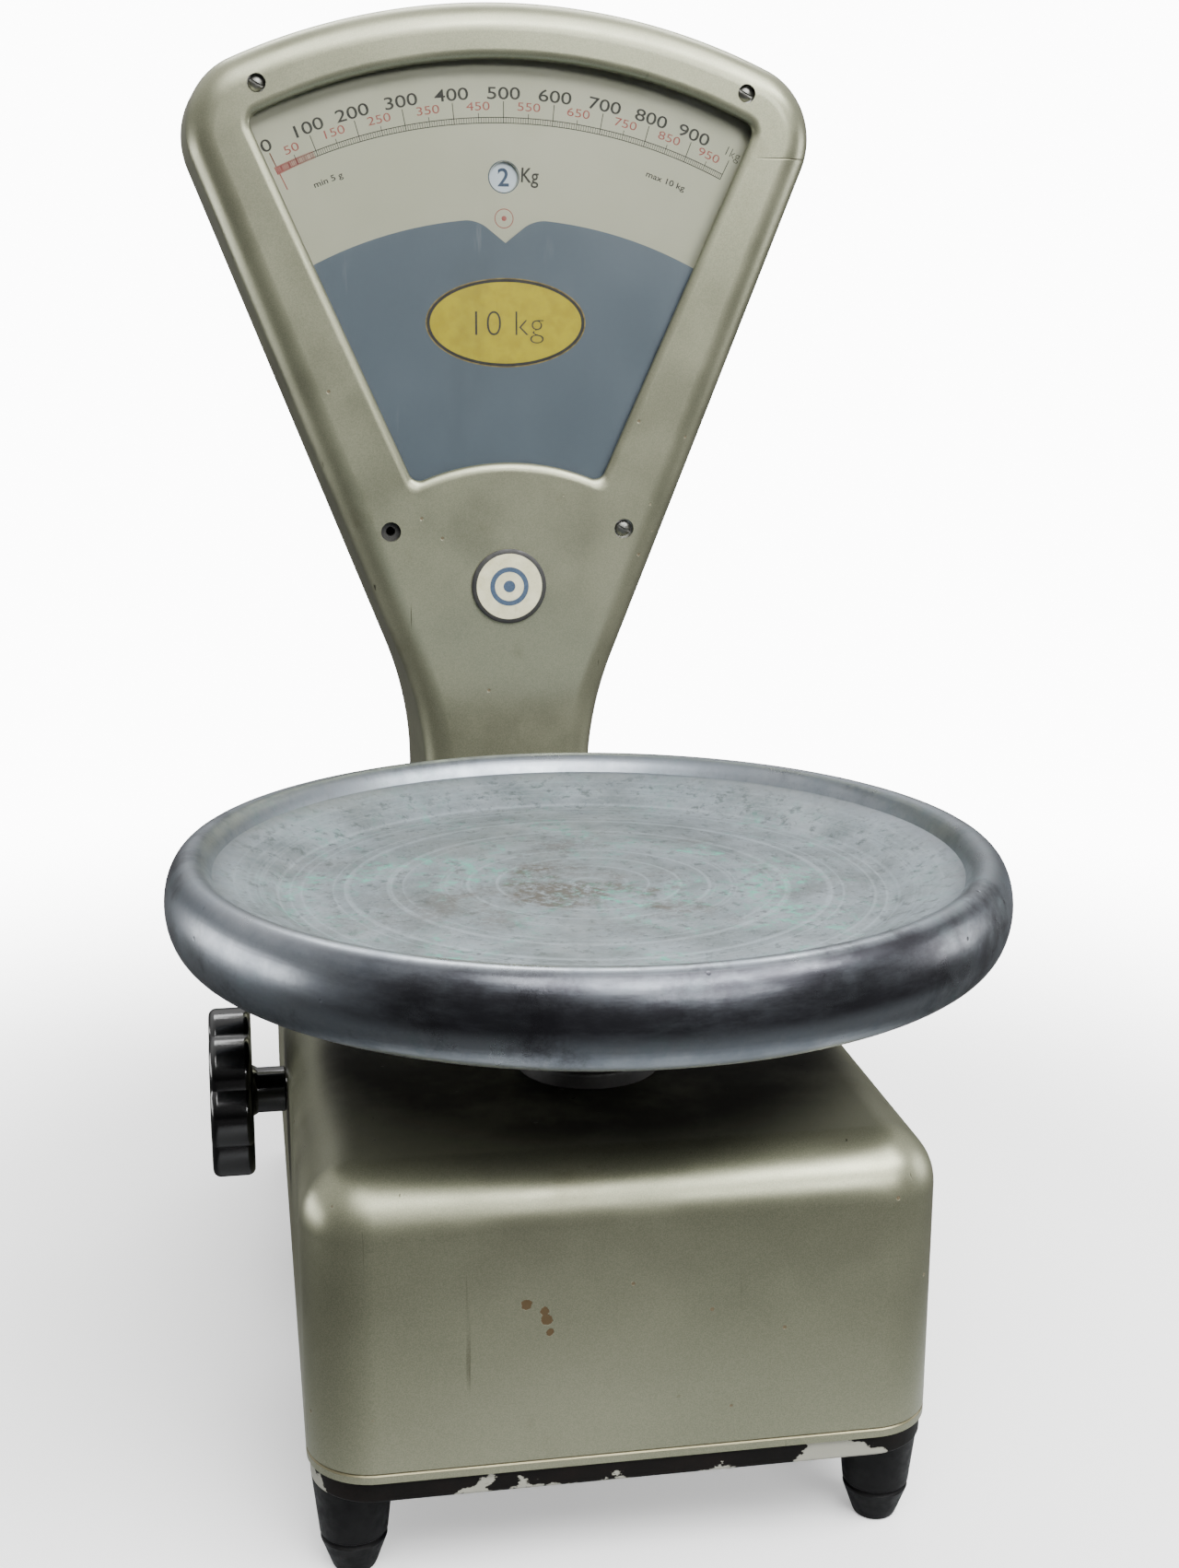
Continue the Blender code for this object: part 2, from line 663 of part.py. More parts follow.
def cover_rings(wall):
    """Return the cover's rings from the lower edge to the flat top, drawn in by a wall."""
    rings = [(base_ring(wall, COVER_CORNER - wall), COVER_BOTTOM)]
    if not wall:
        seam = COVER_BOTTOM + COVER_SEAM_HEIGHT
        for rise, inset in ((-COVER_SEAM_DEPTH, 0), (0, COVER_SEAM_DEPTH),
                            (COVER_SEAM_WIDTH, COVER_SEAM_DEPTH),
                            (COVER_SEAM_WIDTH + COVER_SEAM_DEPTH, 0)):
            rings.append((base_ring(inset, COVER_CORNER - inset), seam + rise))
    for step in range(FILLET_STEPS + 2):
        angle = math.pi / 2 * step / (FILLET_STEPS + 1)
        inset = COVER_EDGE - (COVER_EDGE - wall) * math.cos(angle)
        height = COVER_TOP - COVER_EDGE + (COVER_EDGE - wall) * math.sin(angle)
        rings.append((base_ring(inset, COVER_CORNER - inset), height))
    return rings


def build_base_cover(look):
    """Make the painted cover: a hollow box with rounded edges, open below."""
    rings = cover_rings(0)[::-1] + cover_rings(COVER_WALL)
    cover = add_object("base_cover", loft(rings, "Z"), look["gold_paint"])
    span = (COVER_TOP - COVER_WALL - OVERRUN, COVER_TOP + OVERRUN)
    stem_hole = COLLAR_SPIGOT_RADIUS + GAP
    cut_hole(cover, "stem_hole_cutter", stem_hole, (0, PAN_Y), span, "Z", TURNED_SEGMENTS)
    throat_middle = FACE_Y + (THROAT_FRONT + THROAT_REAR) / 2
    throat = rectangle(THROAT_HALF, (THROAT_REAR - THROAT_FRONT) / 2, (0, throat_middle))
    tool = add_object("throat_cutter", prism(throat, span[0], span[1], "Z"), None)
    combine(cover, tool, "DIFFERENCE")
    wall_span = (-BASE_HALF - OVERRUN, -BASE_HALF + COVER_WALL + OVERRUN)
    cut_hole(cover, "knob_hole_cutter", BUSH_RADIUS + GAP, (KNOB_Y, KNOB_Z), wall_span, "X")


def build_stem_collar(look):
    """Make the collar that guards the stem's hole in the cover."""
    inside = COVER_TOP - COVER_WALL
    top = COVER_TOP + COLLAR_HEIGHT
    seat = COVER_TOP + GAP
    profile = [(COLLAR_BORE, inside), (COLLAR_SPIGOT_RADIUS, inside), (COLLAR_SPIGOT_RADIUS, seat),
               (COLLAR_RADIUS, seat), (COLLAR_RADIUS, top - COLLAR_EDGE),
               (COLLAR_RADIUS - COLLAR_EDGE, top), (COLLAR_BORE, top)]
    add_object("stem_collar", turned(profile, "Z"), look["gold_paint"], (0, PAN_Y, 0))


def head_corner():
    """Return the middle of the fan's right upper corner arc, seen from the front."""
    cosine = math.cos(SIDE_ANGLE)
    sine = math.sin(SIDE_ANGLE)
    arc_z = HOUSING_TOP - HEAD_ARC
    neck_z = HOUSING_BOTTOM + NECK_RISE
    start = Vector((NECK_HALF - HEAD_CORNER * cosine, neck_z + HEAD_CORNER * sine - arc_z))
    climb = Vector((sine, cosine))
    lean = start.dot(climb)
    length = math.sqrt(lean ** 2 - start.length_squared + (HEAD_ARC - HEAD_CORNER) ** 2) - lean
    centre = start + climb * length
    return centre.x, arc_z + centre.y


def fan_side(inset, bottom):
    """Return the right half of the fan outline, from its foot to its top.

    The top arc, the corner, the straight side, the neck and the flared foot meet at
    tangents.  The inset draws the whole outline in by the same distance.
    """
    neck_z = HOUSING_BOTTOM + NECK_RISE
    arc_z = HOUSING_TOP - HEAD_ARC
    points = []
    flare_z = HOUSING_BOTTOM + FLARE_HEIGHT
    reach = FLARE_RADIUS + inset
    lowest = math.asin((flare_z - bottom) / reach)
    middle = NECK_HALF + FLARE_RADIUS
    for step in range(FILLET_STEPS + 1):
        angle = lowest * (1 - step / FILLET_STEPS)
        points.append((middle - reach * math.cos(angle), flare_z - reach * math.sin(angle)))
    fillet_z = neck_z - NECK_FILLET * math.tan(SIDE_ANGLE / 2)
    reach = NECK_FILLET + inset
    middle = NECK_HALF + NECK_FILLET
    for step in range(FILLET_STEPS + 1):
        angle = SIDE_ANGLE * step / FILLET_STEPS
        points.append((middle - reach * math.cos(angle), fillet_z + reach * math.sin(angle)))
    corner_x, corner_z = head_corner()
    top_angle = math.atan2(corner_z - arc_z, corner_x)
    reach = HEAD_CORNER - inset
    for step in range(2 * FILLET_STEPS + 1):
        angle = -SIDE_ANGLE + (top_angle + SIDE_ANGLE) * step / (2 * FILLET_STEPS)
        points.append((corner_x + reach * math.cos(angle), corner_z + reach * math.sin(angle)))
    reach = HEAD_ARC - inset
    for step in range(1, 2 * FILLET_STEPS + 1):
        angle = top_angle + (math.pi / 2 - top_angle) * step / (2 * FILLET_STEPS)
        points.append((reach * math.cos(angle), arc_z + reach * math.sin(angle)))
    return points


def fan_outline(inset, bottom):
    """Return the whole fan outline."""
    right = fan_side(inset, bottom)
    left = [(-x, z) for x, z in right[-2::-1]]
    return right + left


def housing_rings(wall):
    """Return the housing's rings from its front face to its wider, open back."""
    bottom = HOUSING_BOTTOM + wall
    rings = []
    for step in range(FILLET_STEPS + 1):
        angle = math.pi / 2 * (1 - step / FILLET_STEPS)
        inset = HOUSING_EDGE - (HOUSING_EDGE - wall) * math.cos(angle)
        depth = HOUSING_EDGE - (HOUSING_EDGE - wall) * math.sin(angle)
        rings.append((fan_outline(inset, bottom), FACE_Y + depth))
    rings.append((fan_outline(wall - HOUSING_DRAFT, bottom), HOUSING_REAR))
    return rings


def window_outline(offset):
    """Return the dial window's outline about the pivot, grown by an offset."""
    cosine = math.cos(WINDOW_ANGLE)
    sine = math.sin(WINDOW_ANGLE)
    foot = WINDOW_FOOT_HALF + offset / cosine
    arc = WINDOW_ARC + offset
    climb = math.sqrt(arc ** 2 - (foot * cosine) ** 2) - foot * sine
    top_x = foot + climb * sine
    top_angle = math.acos(top_x / arc)
    sill_z = WINDOW_SILL_RISE - WINDOW_SILL_ARC
    sill = WINDOW_SILL_ARC - offset
    lean = foot * sine - sill_z * cosine
    drop = math.sqrt(lean ** 2 - foot ** 2 - sill_z ** 2 + sill ** 2) - lean
    low_x = foot + drop * sine
    low_angle = math.acos(low_x / sill)
    steps = 2 * FILLET_STEPS
    corners = []
    for step in range(steps + 1):
        angle = top_angle + (math.pi - 2 * top_angle) * step / steps
        radius = 0 if 0 < step < steps else WINDOW_CORNER + offset
        corners.append((arc * math.cos(angle), PIVOT_Z + arc * math.sin(angle), radius))
    for step in range(steps + 1):
        angle = math.pi - low_angle - (math.pi - 2 * low_angle) * step / steps
        radius = 0 if 0 < step < steps else WINDOW_CORNER
        corners.append((sill * math.cos(angle), PIVOT_Z + sill_z + sill * math.sin(angle), radius))
    return rounded_polygon(corners)


def window_cutter():
    """Return the cutter whose flared front leaves a rounded lip round the window."""
    rings = [(window_outline(WINDOW_LIP), FACE_Y - OVERRUN)]
    for step in range(FILLET_STEPS + 1):
        angle = math.pi / 2 * step / FILLET_STEPS
        rings.append((window_outline(WINDOW_LIP * (1 - math.sin(angle))),
                      FACE_Y + WINDOW_LIP_DEPTH * (1 - math.cos(angle))))
    rings.append((window_outline(0), FACE_Y + HOUSING_WALL + OVERRUN))
    return loft(rings, "Y")


def post_places():
    """Return each case post's name, place, radius, face hole radius and setback."""
    corner_x, corner_z = head_corner()
    side = corner_x + TOP_POST_OUTSET
    top = corner_z + TOP_POST_RISE
    low = PIVOT_Z + LOW_POST_RISE
    low_side = fan_half_width(low, 0) - LOW_POST_INSET
    top_front = HOUSING_EDGE * TOP_POST_SETBACK_SHARE
    low_front = HOUSING_WALL + GAP
    return {"top_left": (-side, top, TOP_POST_RADIUS, TOP_HOLE_RADIUS, top_front),
            "top_right": (side, top, TOP_POST_RADIUS, TOP_HOLE_RADIUS, top_front),
            "lower_left": (-low_side, low, LOW_POST_RADIUS, LOW_HOLE_RADIUS, low_front),
            "lower_right": (low_side, low, LOW_POST_RADIUS, LOW_HOLE_RADIUS, low_front)}


def build_fan_housing(look):
    """Make the fan-shaped housing: a moulded front and walls, open at the back."""
    rings = housing_rings(0) + housing_rings(HOUSING_WALL)[::-1]
    housing = add_object("fan_housing", loft(rings, "Y"), look["gold_paint"])
    tool = add_object("window_cutter", window_cutter(), None)
    combine(housing, tool, "DIFFERENCE")
    span = (FACE_Y - OVERRUN, FACE_Y + HOUSING_WALL + OVERRUN)
    for name, (x, z, _, hole, _) in post_places().items():
        cut_hole(housing, "face_hole_" + name, hole, (x, z), span, "Y")
    middle = FACE_Y + (THROAT_FRONT + THROAT_REAR) / 2
    throat = rectangle(THROAT_HALF, (THROAT_REAR - THROAT_FRONT) / 2, (0, middle))
    floor = (HOUSING_BOTTOM - OVERRUN, HOUSING_BOTTOM + HOUSING_WALL + OVERRUN)
    tool = add_object("housing_throat_cutter", prism(throat, floor[0], floor[1], "Z"), None)
    combine(housing, tool, "DIFFERENCE")


def build_back_cover(look):
    """Make the plain plate that closes the housing's back."""
    start = HOUSING_REAR + GAP
    end = start + BACK_COVER_THICKNESS
    rings = [(fan_outline(-HOUSING_DRAFT, HOUSING_BOTTOM), start),
             (fan_outline(-HOUSING_DRAFT, HOUSING_BOTTOM), end - BACK_COVER_EDGE),
             (fan_outline(BACK_COVER_EDGE - HOUSING_DRAFT, HOUSING_BOTTOM), end)]
    add_object("fan_back_cover", loft(rings, "Y"), look["gold_paint"])


def mask_outline():
    """Return the dark mask's outline: the window's foot up to an arc with a notch."""
    cosine = math.cos(WINDOW_ANGLE)
    sine = math.sin(WINDOW_ANGLE)
    foot = WINDOW_FOOT_HALF + GLASS_LAP / cosine
    climb = math.sqrt(MASK_ARC ** 2 - (foot * cosine) ** 2) - foot * sine
    edge = math.acos((foot + climb * sine) / MASK_ARC)
    notch = math.acos(MASK_NOTCH_HALF / MASK_ARC)
    steps = FILLET_STEPS
    points = []
    for step in range(steps + 1):
        angle = edge + (notch - edge) * step / steps
        points.append((MASK_ARC * math.cos(angle), PIVOT_Z + MASK_ARC * math.sin(angle)))
    points.append((0, PIVOT_Z + MASK_NOTCH_RADIUS))
    points += [(-x, z) for x, z in points[steps::-1]]
    lower = [point for point in window_outline(GLASS_LAP) if point[1] < PIVOT_Z + MASK_ARC / 2]
    return points + lower


def build_dial(look):
    """Make the window glass, the mask, the chart plate and the round badge."""
    glass_y = FACE_Y + HOUSING_WALL + GAP
    glass = prism(window_outline(GLASS_LAP), glass_y, glass_y + GLASS_THICKNESS, "Y")
    add_object("window_glass", glass, look["glass"])
    mask_y = glass_y + GLASS_THICKNESS + GAP
    add_object("dial_mask", prism(mask_outline(), mask_y, mask_y + MASK_THICKNESS, "Y"), look["mask_paint"])
    chart_y = FACE_Y + CHART_SETBACK
    foot_z = PIVOT_Z + LOW_POST_RISE - CHART_FOOT_DROP
    inset = HOUSING_WALL + CHART_INSET
    side = [point for point in fan_side(inset, HOUSING_BOTTOM) if point[1] > foot_z]
    lean = math.tan(SIDE_ANGLE)
    foot_x = NECK_HALF + (foot_z - HOUSING_BOTTOM - NECK_RISE) * lean - inset / math.cos(SIDE_ANGLE)
    right = [(foot_x, foot_z)] + side
    outline = right + [(-x, z) for x, z in right[-2::-1]]
    plate = prism(outline, chart_y, chart_y + CHART_THICKNESS, "Y")
    chart = add_object("chart_plate", plate, look["chart_card"])
    span = (chart_y - OVERRUN, chart_y + CHART_THICKNESS + OVERRUN)
    number_z = PIVOT_Z + NUMBER_WINDOW_RADIUS
    cut_hole(chart, "number_hole_cutter", NUMBER_HOLE_RADIUS, (0, number_z), span, "Y", TURNED_SEGMENTS)
    for name, (x, z, _, _, _) in post_places().items():
        cut_hole(chart, "chart_hole_" + name, POST_SPIGOT_RADIUS + GAP, (x, z), span, "Y")
    badge_z = PIVOT_Z + BADGE_RISE
    profile = [(0, -GAP), (BADGE_RADIUS, -GAP), (BADGE_RADIUS, -GAP - BADGE_THICKNESS / 2),
               (BADGE_RADIUS - BADGE_THICKNESS / 2, -GAP - BADGE_THICKNESS),
               (0, -GAP - BADGE_THICKNESS)]
    add_object("badge_disc", turned(profile, "Y"), look["badge_enamel"], (0, FACE_Y, badge_z))


def build_posts(look):
    """Make the four posts between the face and the back cover, and the face's screws."""
    shoulder = CHART_SETBACK - GAP
    rear = HOUSING_DEPTH
    for name, (x, z, radius, _, front) in post_places().items():
        profile = [(POST_BORE_RADIUS, front), (radius, front), (radius, shoulder),
                   (POST_SPIGOT_RADIUS, shoulder), (POST_SPIGOT_RADIUS, rear), (0, rear),
                   (0, front + POST_BORE_DEPTH), (POST_BORE_RADIUS, front + POST_BORE_DEPTH)]
        add_object("case_post_" + name, turned(profile, "Y", SMALL_SEGMENTS), look["steel"], (x, FACE_Y, z))
        if name == "lower_left":
            continue
        seat = front - GAP
        head = [(0, seat - SCREW_HEAD_HEIGHT), (SCREW_HEAD_RADIUS, seat - SCREW_HEAD_HEIGHT),
                (SCREW_HEAD_RADIUS, seat), (SCREW_SHANK_RADIUS, seat),
                (SCREW_SHANK_RADIUS, seat + SCREW_LENGTH), (0, seat + SCREW_LENGTH)]
        add_object("screw_" + name, turned(head, "Y", SMALL_SEGMENTS), look["steel"], (x, FACE_Y, z))


def knife(apex_up):
    """Return a knife edge's section about its edge."""
    side = -1 if apex_up else 1
    return [(0, 0), (KNIFE_HALF_WIDTH, side * KNIFE_HEIGHT), (-KNIFE_HALF_WIDTH, side * KNIFE_HEIGHT)]


def grown_knife(apex_up):
    """Return the knife's socket, which stands off the knife by the gap all round."""
    side = -1 if apex_up else 1
    half_angle = math.atan2(KNIFE_HALF_WIDTH, KNIFE_HEIGHT)
    apex = -side * GAP / math.sin(half_angle)
    base = side * (KNIFE_HEIGHT + GAP)
    half = (abs(base) + abs(apex)) * math.tan(half_angle)
    return [(0, apex), (half, base), (-half, base)]


def place_outline(points, u, v):
    """Shift an outline."""
    return [(x + u, z + v) for x, z in points]


def lever_outline():
    """Return the lever's side view about the fulcrum: deep at the knives, slim behind."""
    front = -LOAD_ARM - LEVER_FRONT_REACH
    rear = LINK_ARM + LEVER_REAR_REACH
    slim = LEVER_HALF_DEPTH
    deep = LEVER_DEEP
    taper = LEVER_TAPER_REACH
    corner = LEVER_END_ROUND
    load = -LOAD_ARM + LEVER_FRONT_REACH
    return rounded_polygon([
        (front, -deep, corner), (load, -deep, corner), (load + taper / 2, -slim, corner),
        (rear, -slim, corner), (rear, slim, corner), (2 * taper, slim, corner),
        (taper / 2, deep, corner), (-taper / 2, deep, corner), (load, slim, corner),
        (front, slim, corner)])


def build_lever(look):
    """Make the main lever with its knives, link pin and counterweight."""
    axis = add_axis("lever_axis", (0, FULCRUM_Y, LEVER_Z))
    half = LEVER_THICKNESS / 2
    lever = add_object("main_lever", prism(lever_outline(), -half, half, "X"), look["iron"], parent=axis)
    reach = KNIFE_LENGTH / 2
    sockets = {"fulcrum_knife": (0, False), "load_knife": (-LOAD_ARM, True)}
    for name, (place, apex_up) in sockets.items():
        edge = place_outline(knife(apex_up), place, 0)
        socket = place_outline(grown_knife(apex_up), place, 0)
        add_object(name, prism(edge, -reach, reach, "X"), look["steel"], parent=axis)
        tool = add_object(name + "_socket", prism(socket, -reach, reach, "X"), None, parent=axis)
        combine(lever, tool, "DIFFERENCE")
    pin_end = half + OVERRUN
    hole = prism(circle(LINK_PIN_RADIUS + GAP, SMALL_SEGMENTS, (LINK_ARM, 0)), -reach, reach, "X")
    combine(lever, add_object("link_pin_hole", hole, None, parent=axis), "DIFFERENCE")
    round_end = circle(LINK_PIN_RADIUS, SMALL_SEGMENTS, (LINK_ARM, 0))
    pin = prism(round_end, pin_end - LINK_PIN_LENGTH, pin_end, "X")
    add_object("link_pin", pin, look["steel"], parent=axis)
    slim = LEVER_HALF_DEPTH + GAP
    side = COUNTERWEIGHT_WIDTH / 2
    inner = half + GAP
    corner = COUNTERWEIGHT_ROUND
    saddle = rounded_polygon([
        (-side, -COUNTERWEIGHT_DROP, corner), (-inner, -COUNTERWEIGHT_DROP, 0), (-inner, slim, 0),
        (inner, slim, 0), (inner, -COUNTERWEIGHT_DROP, 0), (side, -COUNTERWEIGHT_DROP, corner),
        (side, COUNTERWEIGHT_TOP, corner), (-side, COUNTERWEIGHT_TOP, corner)])
    start = COUNTERWEIGHT_ARM - COUNTERWEIGHT_LENGTH / 2
    block = prism(saddle, start, start + COUNTERWEIGHT_LENGTH, "Y")
    add_object("counterweight", block, look["iron"], parent=axis)


def build_fulcrum(look):
    """Make the two cheeks that carry the lever's knife and the check link's pin."""
    inner = LEVER_THICKNESS / 2 + CHEEK_CLEAR
    top = CHECK_Z + CHECK_EYE_MARGIN + CHECK_PIN_RADIUS
    foot = FLOOR_Z + CHEEK_FOOT_HEIGHT
    outline = rounded_polygon([
        (-CHEEK_FOOT_HALF, FLOOR_Z, 0), (CHEEK_FOOT_HALF, FLOOR_Z, 0),
        (CHEEK_FOOT_HALF, foot, 0), (CHEEK_WAIST_HALF, foot, LEVER_END_ROUND),
        (CHEEK_TOP_HALF, top, LEVER_END_ROUND), (-CHEEK_TOP_HALF, top, LEVER_END_ROUND),
        (-CHEEK_WAIST_HALF, foot, LEVER_END_ROUND), (-CHEEK_FOOT_HALF, foot, 0)])
    bearing = [(0, -GAP), (BEARING_HALF, BEARING_SLOPE), (BEARING_HALF, BEARING_RISE),
               (-BEARING_HALF, BEARING_RISE), (-BEARING_HALF, BEARING_SLOPE)]
    for name, side in (("left", -1), ("right", 1)):
        start, end = sorted((side * inner, side * (inner + CHEEK_THICKNESS)))
        plate = prism(place_outline(outline, FULCRUM_Y, 0), start, end, "X")
        cheek = add_object("fulcrum_cheek_" + name, plate, look["iron"])
        span = (start - OVERRUN, end + OVERRUN)
        seat = prism(place_outline(bearing, FULCRUM_Y, LEVER_Z), span[0], span[1], "X")
        combine(cheek, add_object("knife_seat_" + name, seat, None), "DIFFERENCE")
        hole = CHECK_PIN_RADIUS + GAP
        cut_hole(cheek, "check_hole_" + name, hole, (FULCRUM_Y, CHECK_Z), span, "X")
    pin_half = inner + CHEEK_THICKNESS
    pin = prism(circle(CHECK_PIN_RADIUS, SMALL_SEGMENTS, (FULCRUM_Y, CHECK_Z)), -pin_half, pin_half, "X")
    add_object("check_pin_rear", pin, look["steel"])


def build_check_link(look):
    """Make the forked link that keeps the stem upright."""
    axis = add_axis("check_axis", (0, FULCRUM_Y, CHECK_Z))
    arm_inner = STEM_RADIUS + RUN_GAP
    arm_outer = arm_inner + CHECK_ARM_WIDTH
    bridge = -LOAD_ARM + STEM_RADIUS + CHECK_ARM_REACH
    tip = -LOAD_ARM - CHECK_EYE_MARGIN
    tail = CHECK_EYE_MARGIN
    outline = rounded_polygon([
        (arm_inner, bridge, 0), (-arm_inner, bridge, 0), (-arm_inner, tip, 0), (-arm_outer, tip, 0),
        (-arm_outer, bridge + CHECK_BRIDGE, 0), (-CHECK_NECK_HALF, bridge + CHECK_BRIDGE, 0),
        (-CHECK_NECK_HALF, tail, 0), (CHECK_NECK_HALF, tail, 0),
        (CHECK_NECK_HALF, bridge + CHECK_BRIDGE, 0), (arm_outer, bridge + CHECK_BRIDGE, 0),
        (arm_outer, tip, 0), (arm_inner, tip, 0)])
    half = CHECK_THICKNESS / 2
    link = add_object("check_link", prism(outline, -half, half, "Z"), look["iron"], parent=axis)
    reach = arm_outer + OVERRUN
    hole = CHECK_PIN_RADIUS + RUN_GAP
    for name, place in (("rear", 0), ("front", -LOAD_ARM)):
        tool = prism(circle(hole, SMALL_SEGMENTS, (place, 0)), -reach, reach, "X")
        combine(link, add_object("check_eye_" + name, tool, None, parent=axis), "DIFFERENCE")


def spider_outline():
    """Return a four-armed cross whose arms narrow towards their tips."""
    corners = []
    for arm in range(4):
        angle = (arm + 1 / 2) * math.pi / 2
        ahead = Vector((math.cos(angle), math.sin(angle)))
        aside = Vector((-ahead.y, ahead.x))
        crotch = (ahead - aside) * SPIDER_ROOT_HALF
        corners.append((crotch.x, crotch.y, SPIDER_WEB))
        for side in (-1, 1):
            corner = ahead * SPIDER_REACH + aside * side * SPIDER_TIP_HALF
            corners.append((corner.x, corner.y, SPIDER_TIP_HALF / 2))
    return rounded_polygon(corners)


def build_carrier(look):
    """Make the spider, stem and stirrup that hold the pan over the lever."""
    axis = add_axis("carrier_axis", (0, PAN_Y, 0))
    spider_top = PAN_FLOOR_TOP - PAN_WALL - GAP
    spider_bottom = spider_top - SPIDER_THICKNESS
    spider = add_object("pan_spider", prism(spider_outline(), spider_bottom, spider_top, "Z"),
                        look["iron"], parent=axis)
    reach = (spider_bottom - OVERRUN, spider_top + OVERRUN)
    hub = prism(circle(STEM_SPIGOT_RADIUS + GAP, TURNED_SEGMENTS), reach[0], reach[1], "Z")
    combine(spider, add_object("spider_bore", hub, None, parent=axis), "DIFFERENCE")
    roof_top = LEVER_Z + STIRRUP_TOP_RISE
    flange = spider_bottom - GAP
    profile = [(0, roof_top + GAP), (STEM_RADIUS, roof_top + GAP),
               (STEM_RADIUS, flange - STEM_FLANGE_HEIGHT - STEM_RADIUS / 2),
               (STEM_FLANGE_RADIUS, flange - STEM_FLANGE_HEIGHT), (STEM_FLANGE_RADIUS, flange),
               (STEM_SPIGOT_RADIUS, flange), (STEM_SPIGOT_RADIUS, spider_top), (0, spider_top)]
    stem = add_object("stem", turned(profile, "Z"), look["steel"], parent=axis)
    pin_half = STEM_RADIUS + RUN_GAP + CHECK_ARM_WIDTH
    cross = (0, CHECK_Z)
    hole = prism(circle(CHECK_PIN_RADIUS + GAP, SMALL_SEGMENTS, cross), -pin_half, pin_half, "X")
    combine(stem, add_object("stem_cross_hole", hole, None, parent=axis), "DIFFERENCE")
    pin = prism(circle(CHECK_PIN_RADIUS, SMALL_SEGMENTS, cross), -pin_half, pin_half, "X")
    add_object("check_pin_front", pin, look["steel"], parent=axis)
    inner = STIRRUP_HALF_WIDTH - STIRRUP_LEG
    bottom = LEVER_Z - STIRRUP_DROP
    roof = roof_top - STIRRUP_ROOF
    section = [(-STIRRUP_HALF_WIDTH, bottom), (-inner, bottom), (-inner, roof), (inner, roof),
               (inner, bottom), (STIRRUP_HALF_WIDTH, bottom), (STIRRUP_HALF_WIDTH, roof_top),
               (-STIRRUP_HALF_WIDTH, roof_top)]
    half = STIRRUP_LENGTH / 2
    stirrup = add_object("stirrup", prism(section, -half, half, "Y"), look["iron"], parent=axis)
    seat = [(0, GAP), (-BEARING_HALF, -BEARING_SLOPE), (-BEARING_HALF, -STIRRUP_WINDOW_DROP),
            (BEARING_HALF, -STIRRUP_WINDOW_DROP), (BEARING_HALF, -BEARING_SLOPE)]
    tool = prism(place_outline(seat, 0, LEVER_Z), -STIRRUP_HALF_WIDTH - OVERRUN,
                 STIRRUP_HALF_WIDTH + OVERRUN, "X")
    combine(stirrup, add_object("load_seat", tool, None, parent=axis), "DIFFERENCE")
    top = bottom - GAP
    disc = turned([(0, top - PISTON_THICKNESS), (PISTON_RADIUS, top - PISTON_THICKNESS),
                   (PISTON_RADIUS, top), (0, top)], "Z")
    add_object("dash_piston", disc, look["brass"], parent=axis)


def build_dashpot(look):
    """Make the shallow cup that damps the piston under the stirrup."""
    bore = PISTON_RADIUS + RUN_GAP
    rim = FLOOR_Z + CUP_HEIGHT
    profile = [(0, FLOOR_Z), (bore + CUP_WALL, FLOOR_Z), (bore + CUP_WALL, rim), (bore, rim),
               (bore, FLOOR_Z + CUP_FLOOR), (0, FLOOR_Z + CUP_FLOOR)]
    add_object("dashpot_cup", turned(profile, "Z"), look["brass"], (0, PAN_Y, 0))


def build_stop(look):
    """Make the post that the heavy end of the lever rests on."""
    top = LEVER_Z - LEVER_HALF_DEPTH - GAP
    shoulder = top - STOP_HEAD_HEIGHT
    profile = [(0, FLOOR_Z), (STOP_RADIUS, FLOOR_Z), (STOP_RADIUS, shoulder),
               (STOP_HEAD_RADIUS, shoulder), (STOP_HEAD_RADIUS, top), (0, top)]
    add_object("lever_stop", turned(profile, "Z", SMALL_SEGMENTS), look["rubber"],
               (0, FULCRUM_Y + STOP_ARM, 0))


def build_draft_link(look):
    """Make the forged link that carries the lever's lift up to the pendulum's crank."""
    foot = LEVER_Z - LINK_FOOT_HALF
    head = CRANK_PIN_Z + LINK_HEAD_HEIGHT
    flat = LINK_THICKNESS / 2
    foot_top = LEVER_Z + LINK_FOOT_HALF
    stations = [
        (foot, LINK_FOOT_WIDTH_HALF, LINK_FOOT_HALF), (foot_top, LINK_FOOT_WIDTH_HALF, LINK_FOOT_HALF),
        (foot_top + LINK_NECK, LINK_BAR_HALF, flat),
        (CRANK_PIN_Z - LINK_HEAD_HEIGHT - LINK_NECK, LINK_BAR_HALF, flat),
        (CRANK_PIN_Z - LINK_HEAD_HEIGHT, LINK_HEAD_HALF, flat), (head, LINK_HEAD_HALF, flat)]
    middle_y = FACE_Y + LINK_SETBACK + flat
    rings = [(rectangle(half_x, half_y, (LINK_X, middle_y)), z) for z, half_x, half_y in stations]
    link = add_object("draft_link", loft(rings, "Z"), look["steel"])
    lower = obround(LINK_SLOT_REACH, LINK_PIN_RADIUS + GAP, (LINK_Y, LEVER_Z))
    span = (LINK_X - LINK_HEAD_HALF, LINK_X + LINK_HEAD_HALF)
    combine(link, add_object("lower_slot", prism(lower, span[0], span[1], "X"), None), "DIFFERENCE")
    drift = (CRANK_RADIUS + CRANK_PIN_X) / 2 + RUN_GAP
    upper = obround(drift, CRANK_PIN_RADIUS + RUN_GAP, (LINK_X, CRANK_PIN_Z))
    span = (middle_y - flat - OVERRUN, middle_y + flat + OVERRUN)
    combine(link, add_object("upper_slot", prism(upper, span[0], span[1], "Y"), None), "DIFFERENCE")


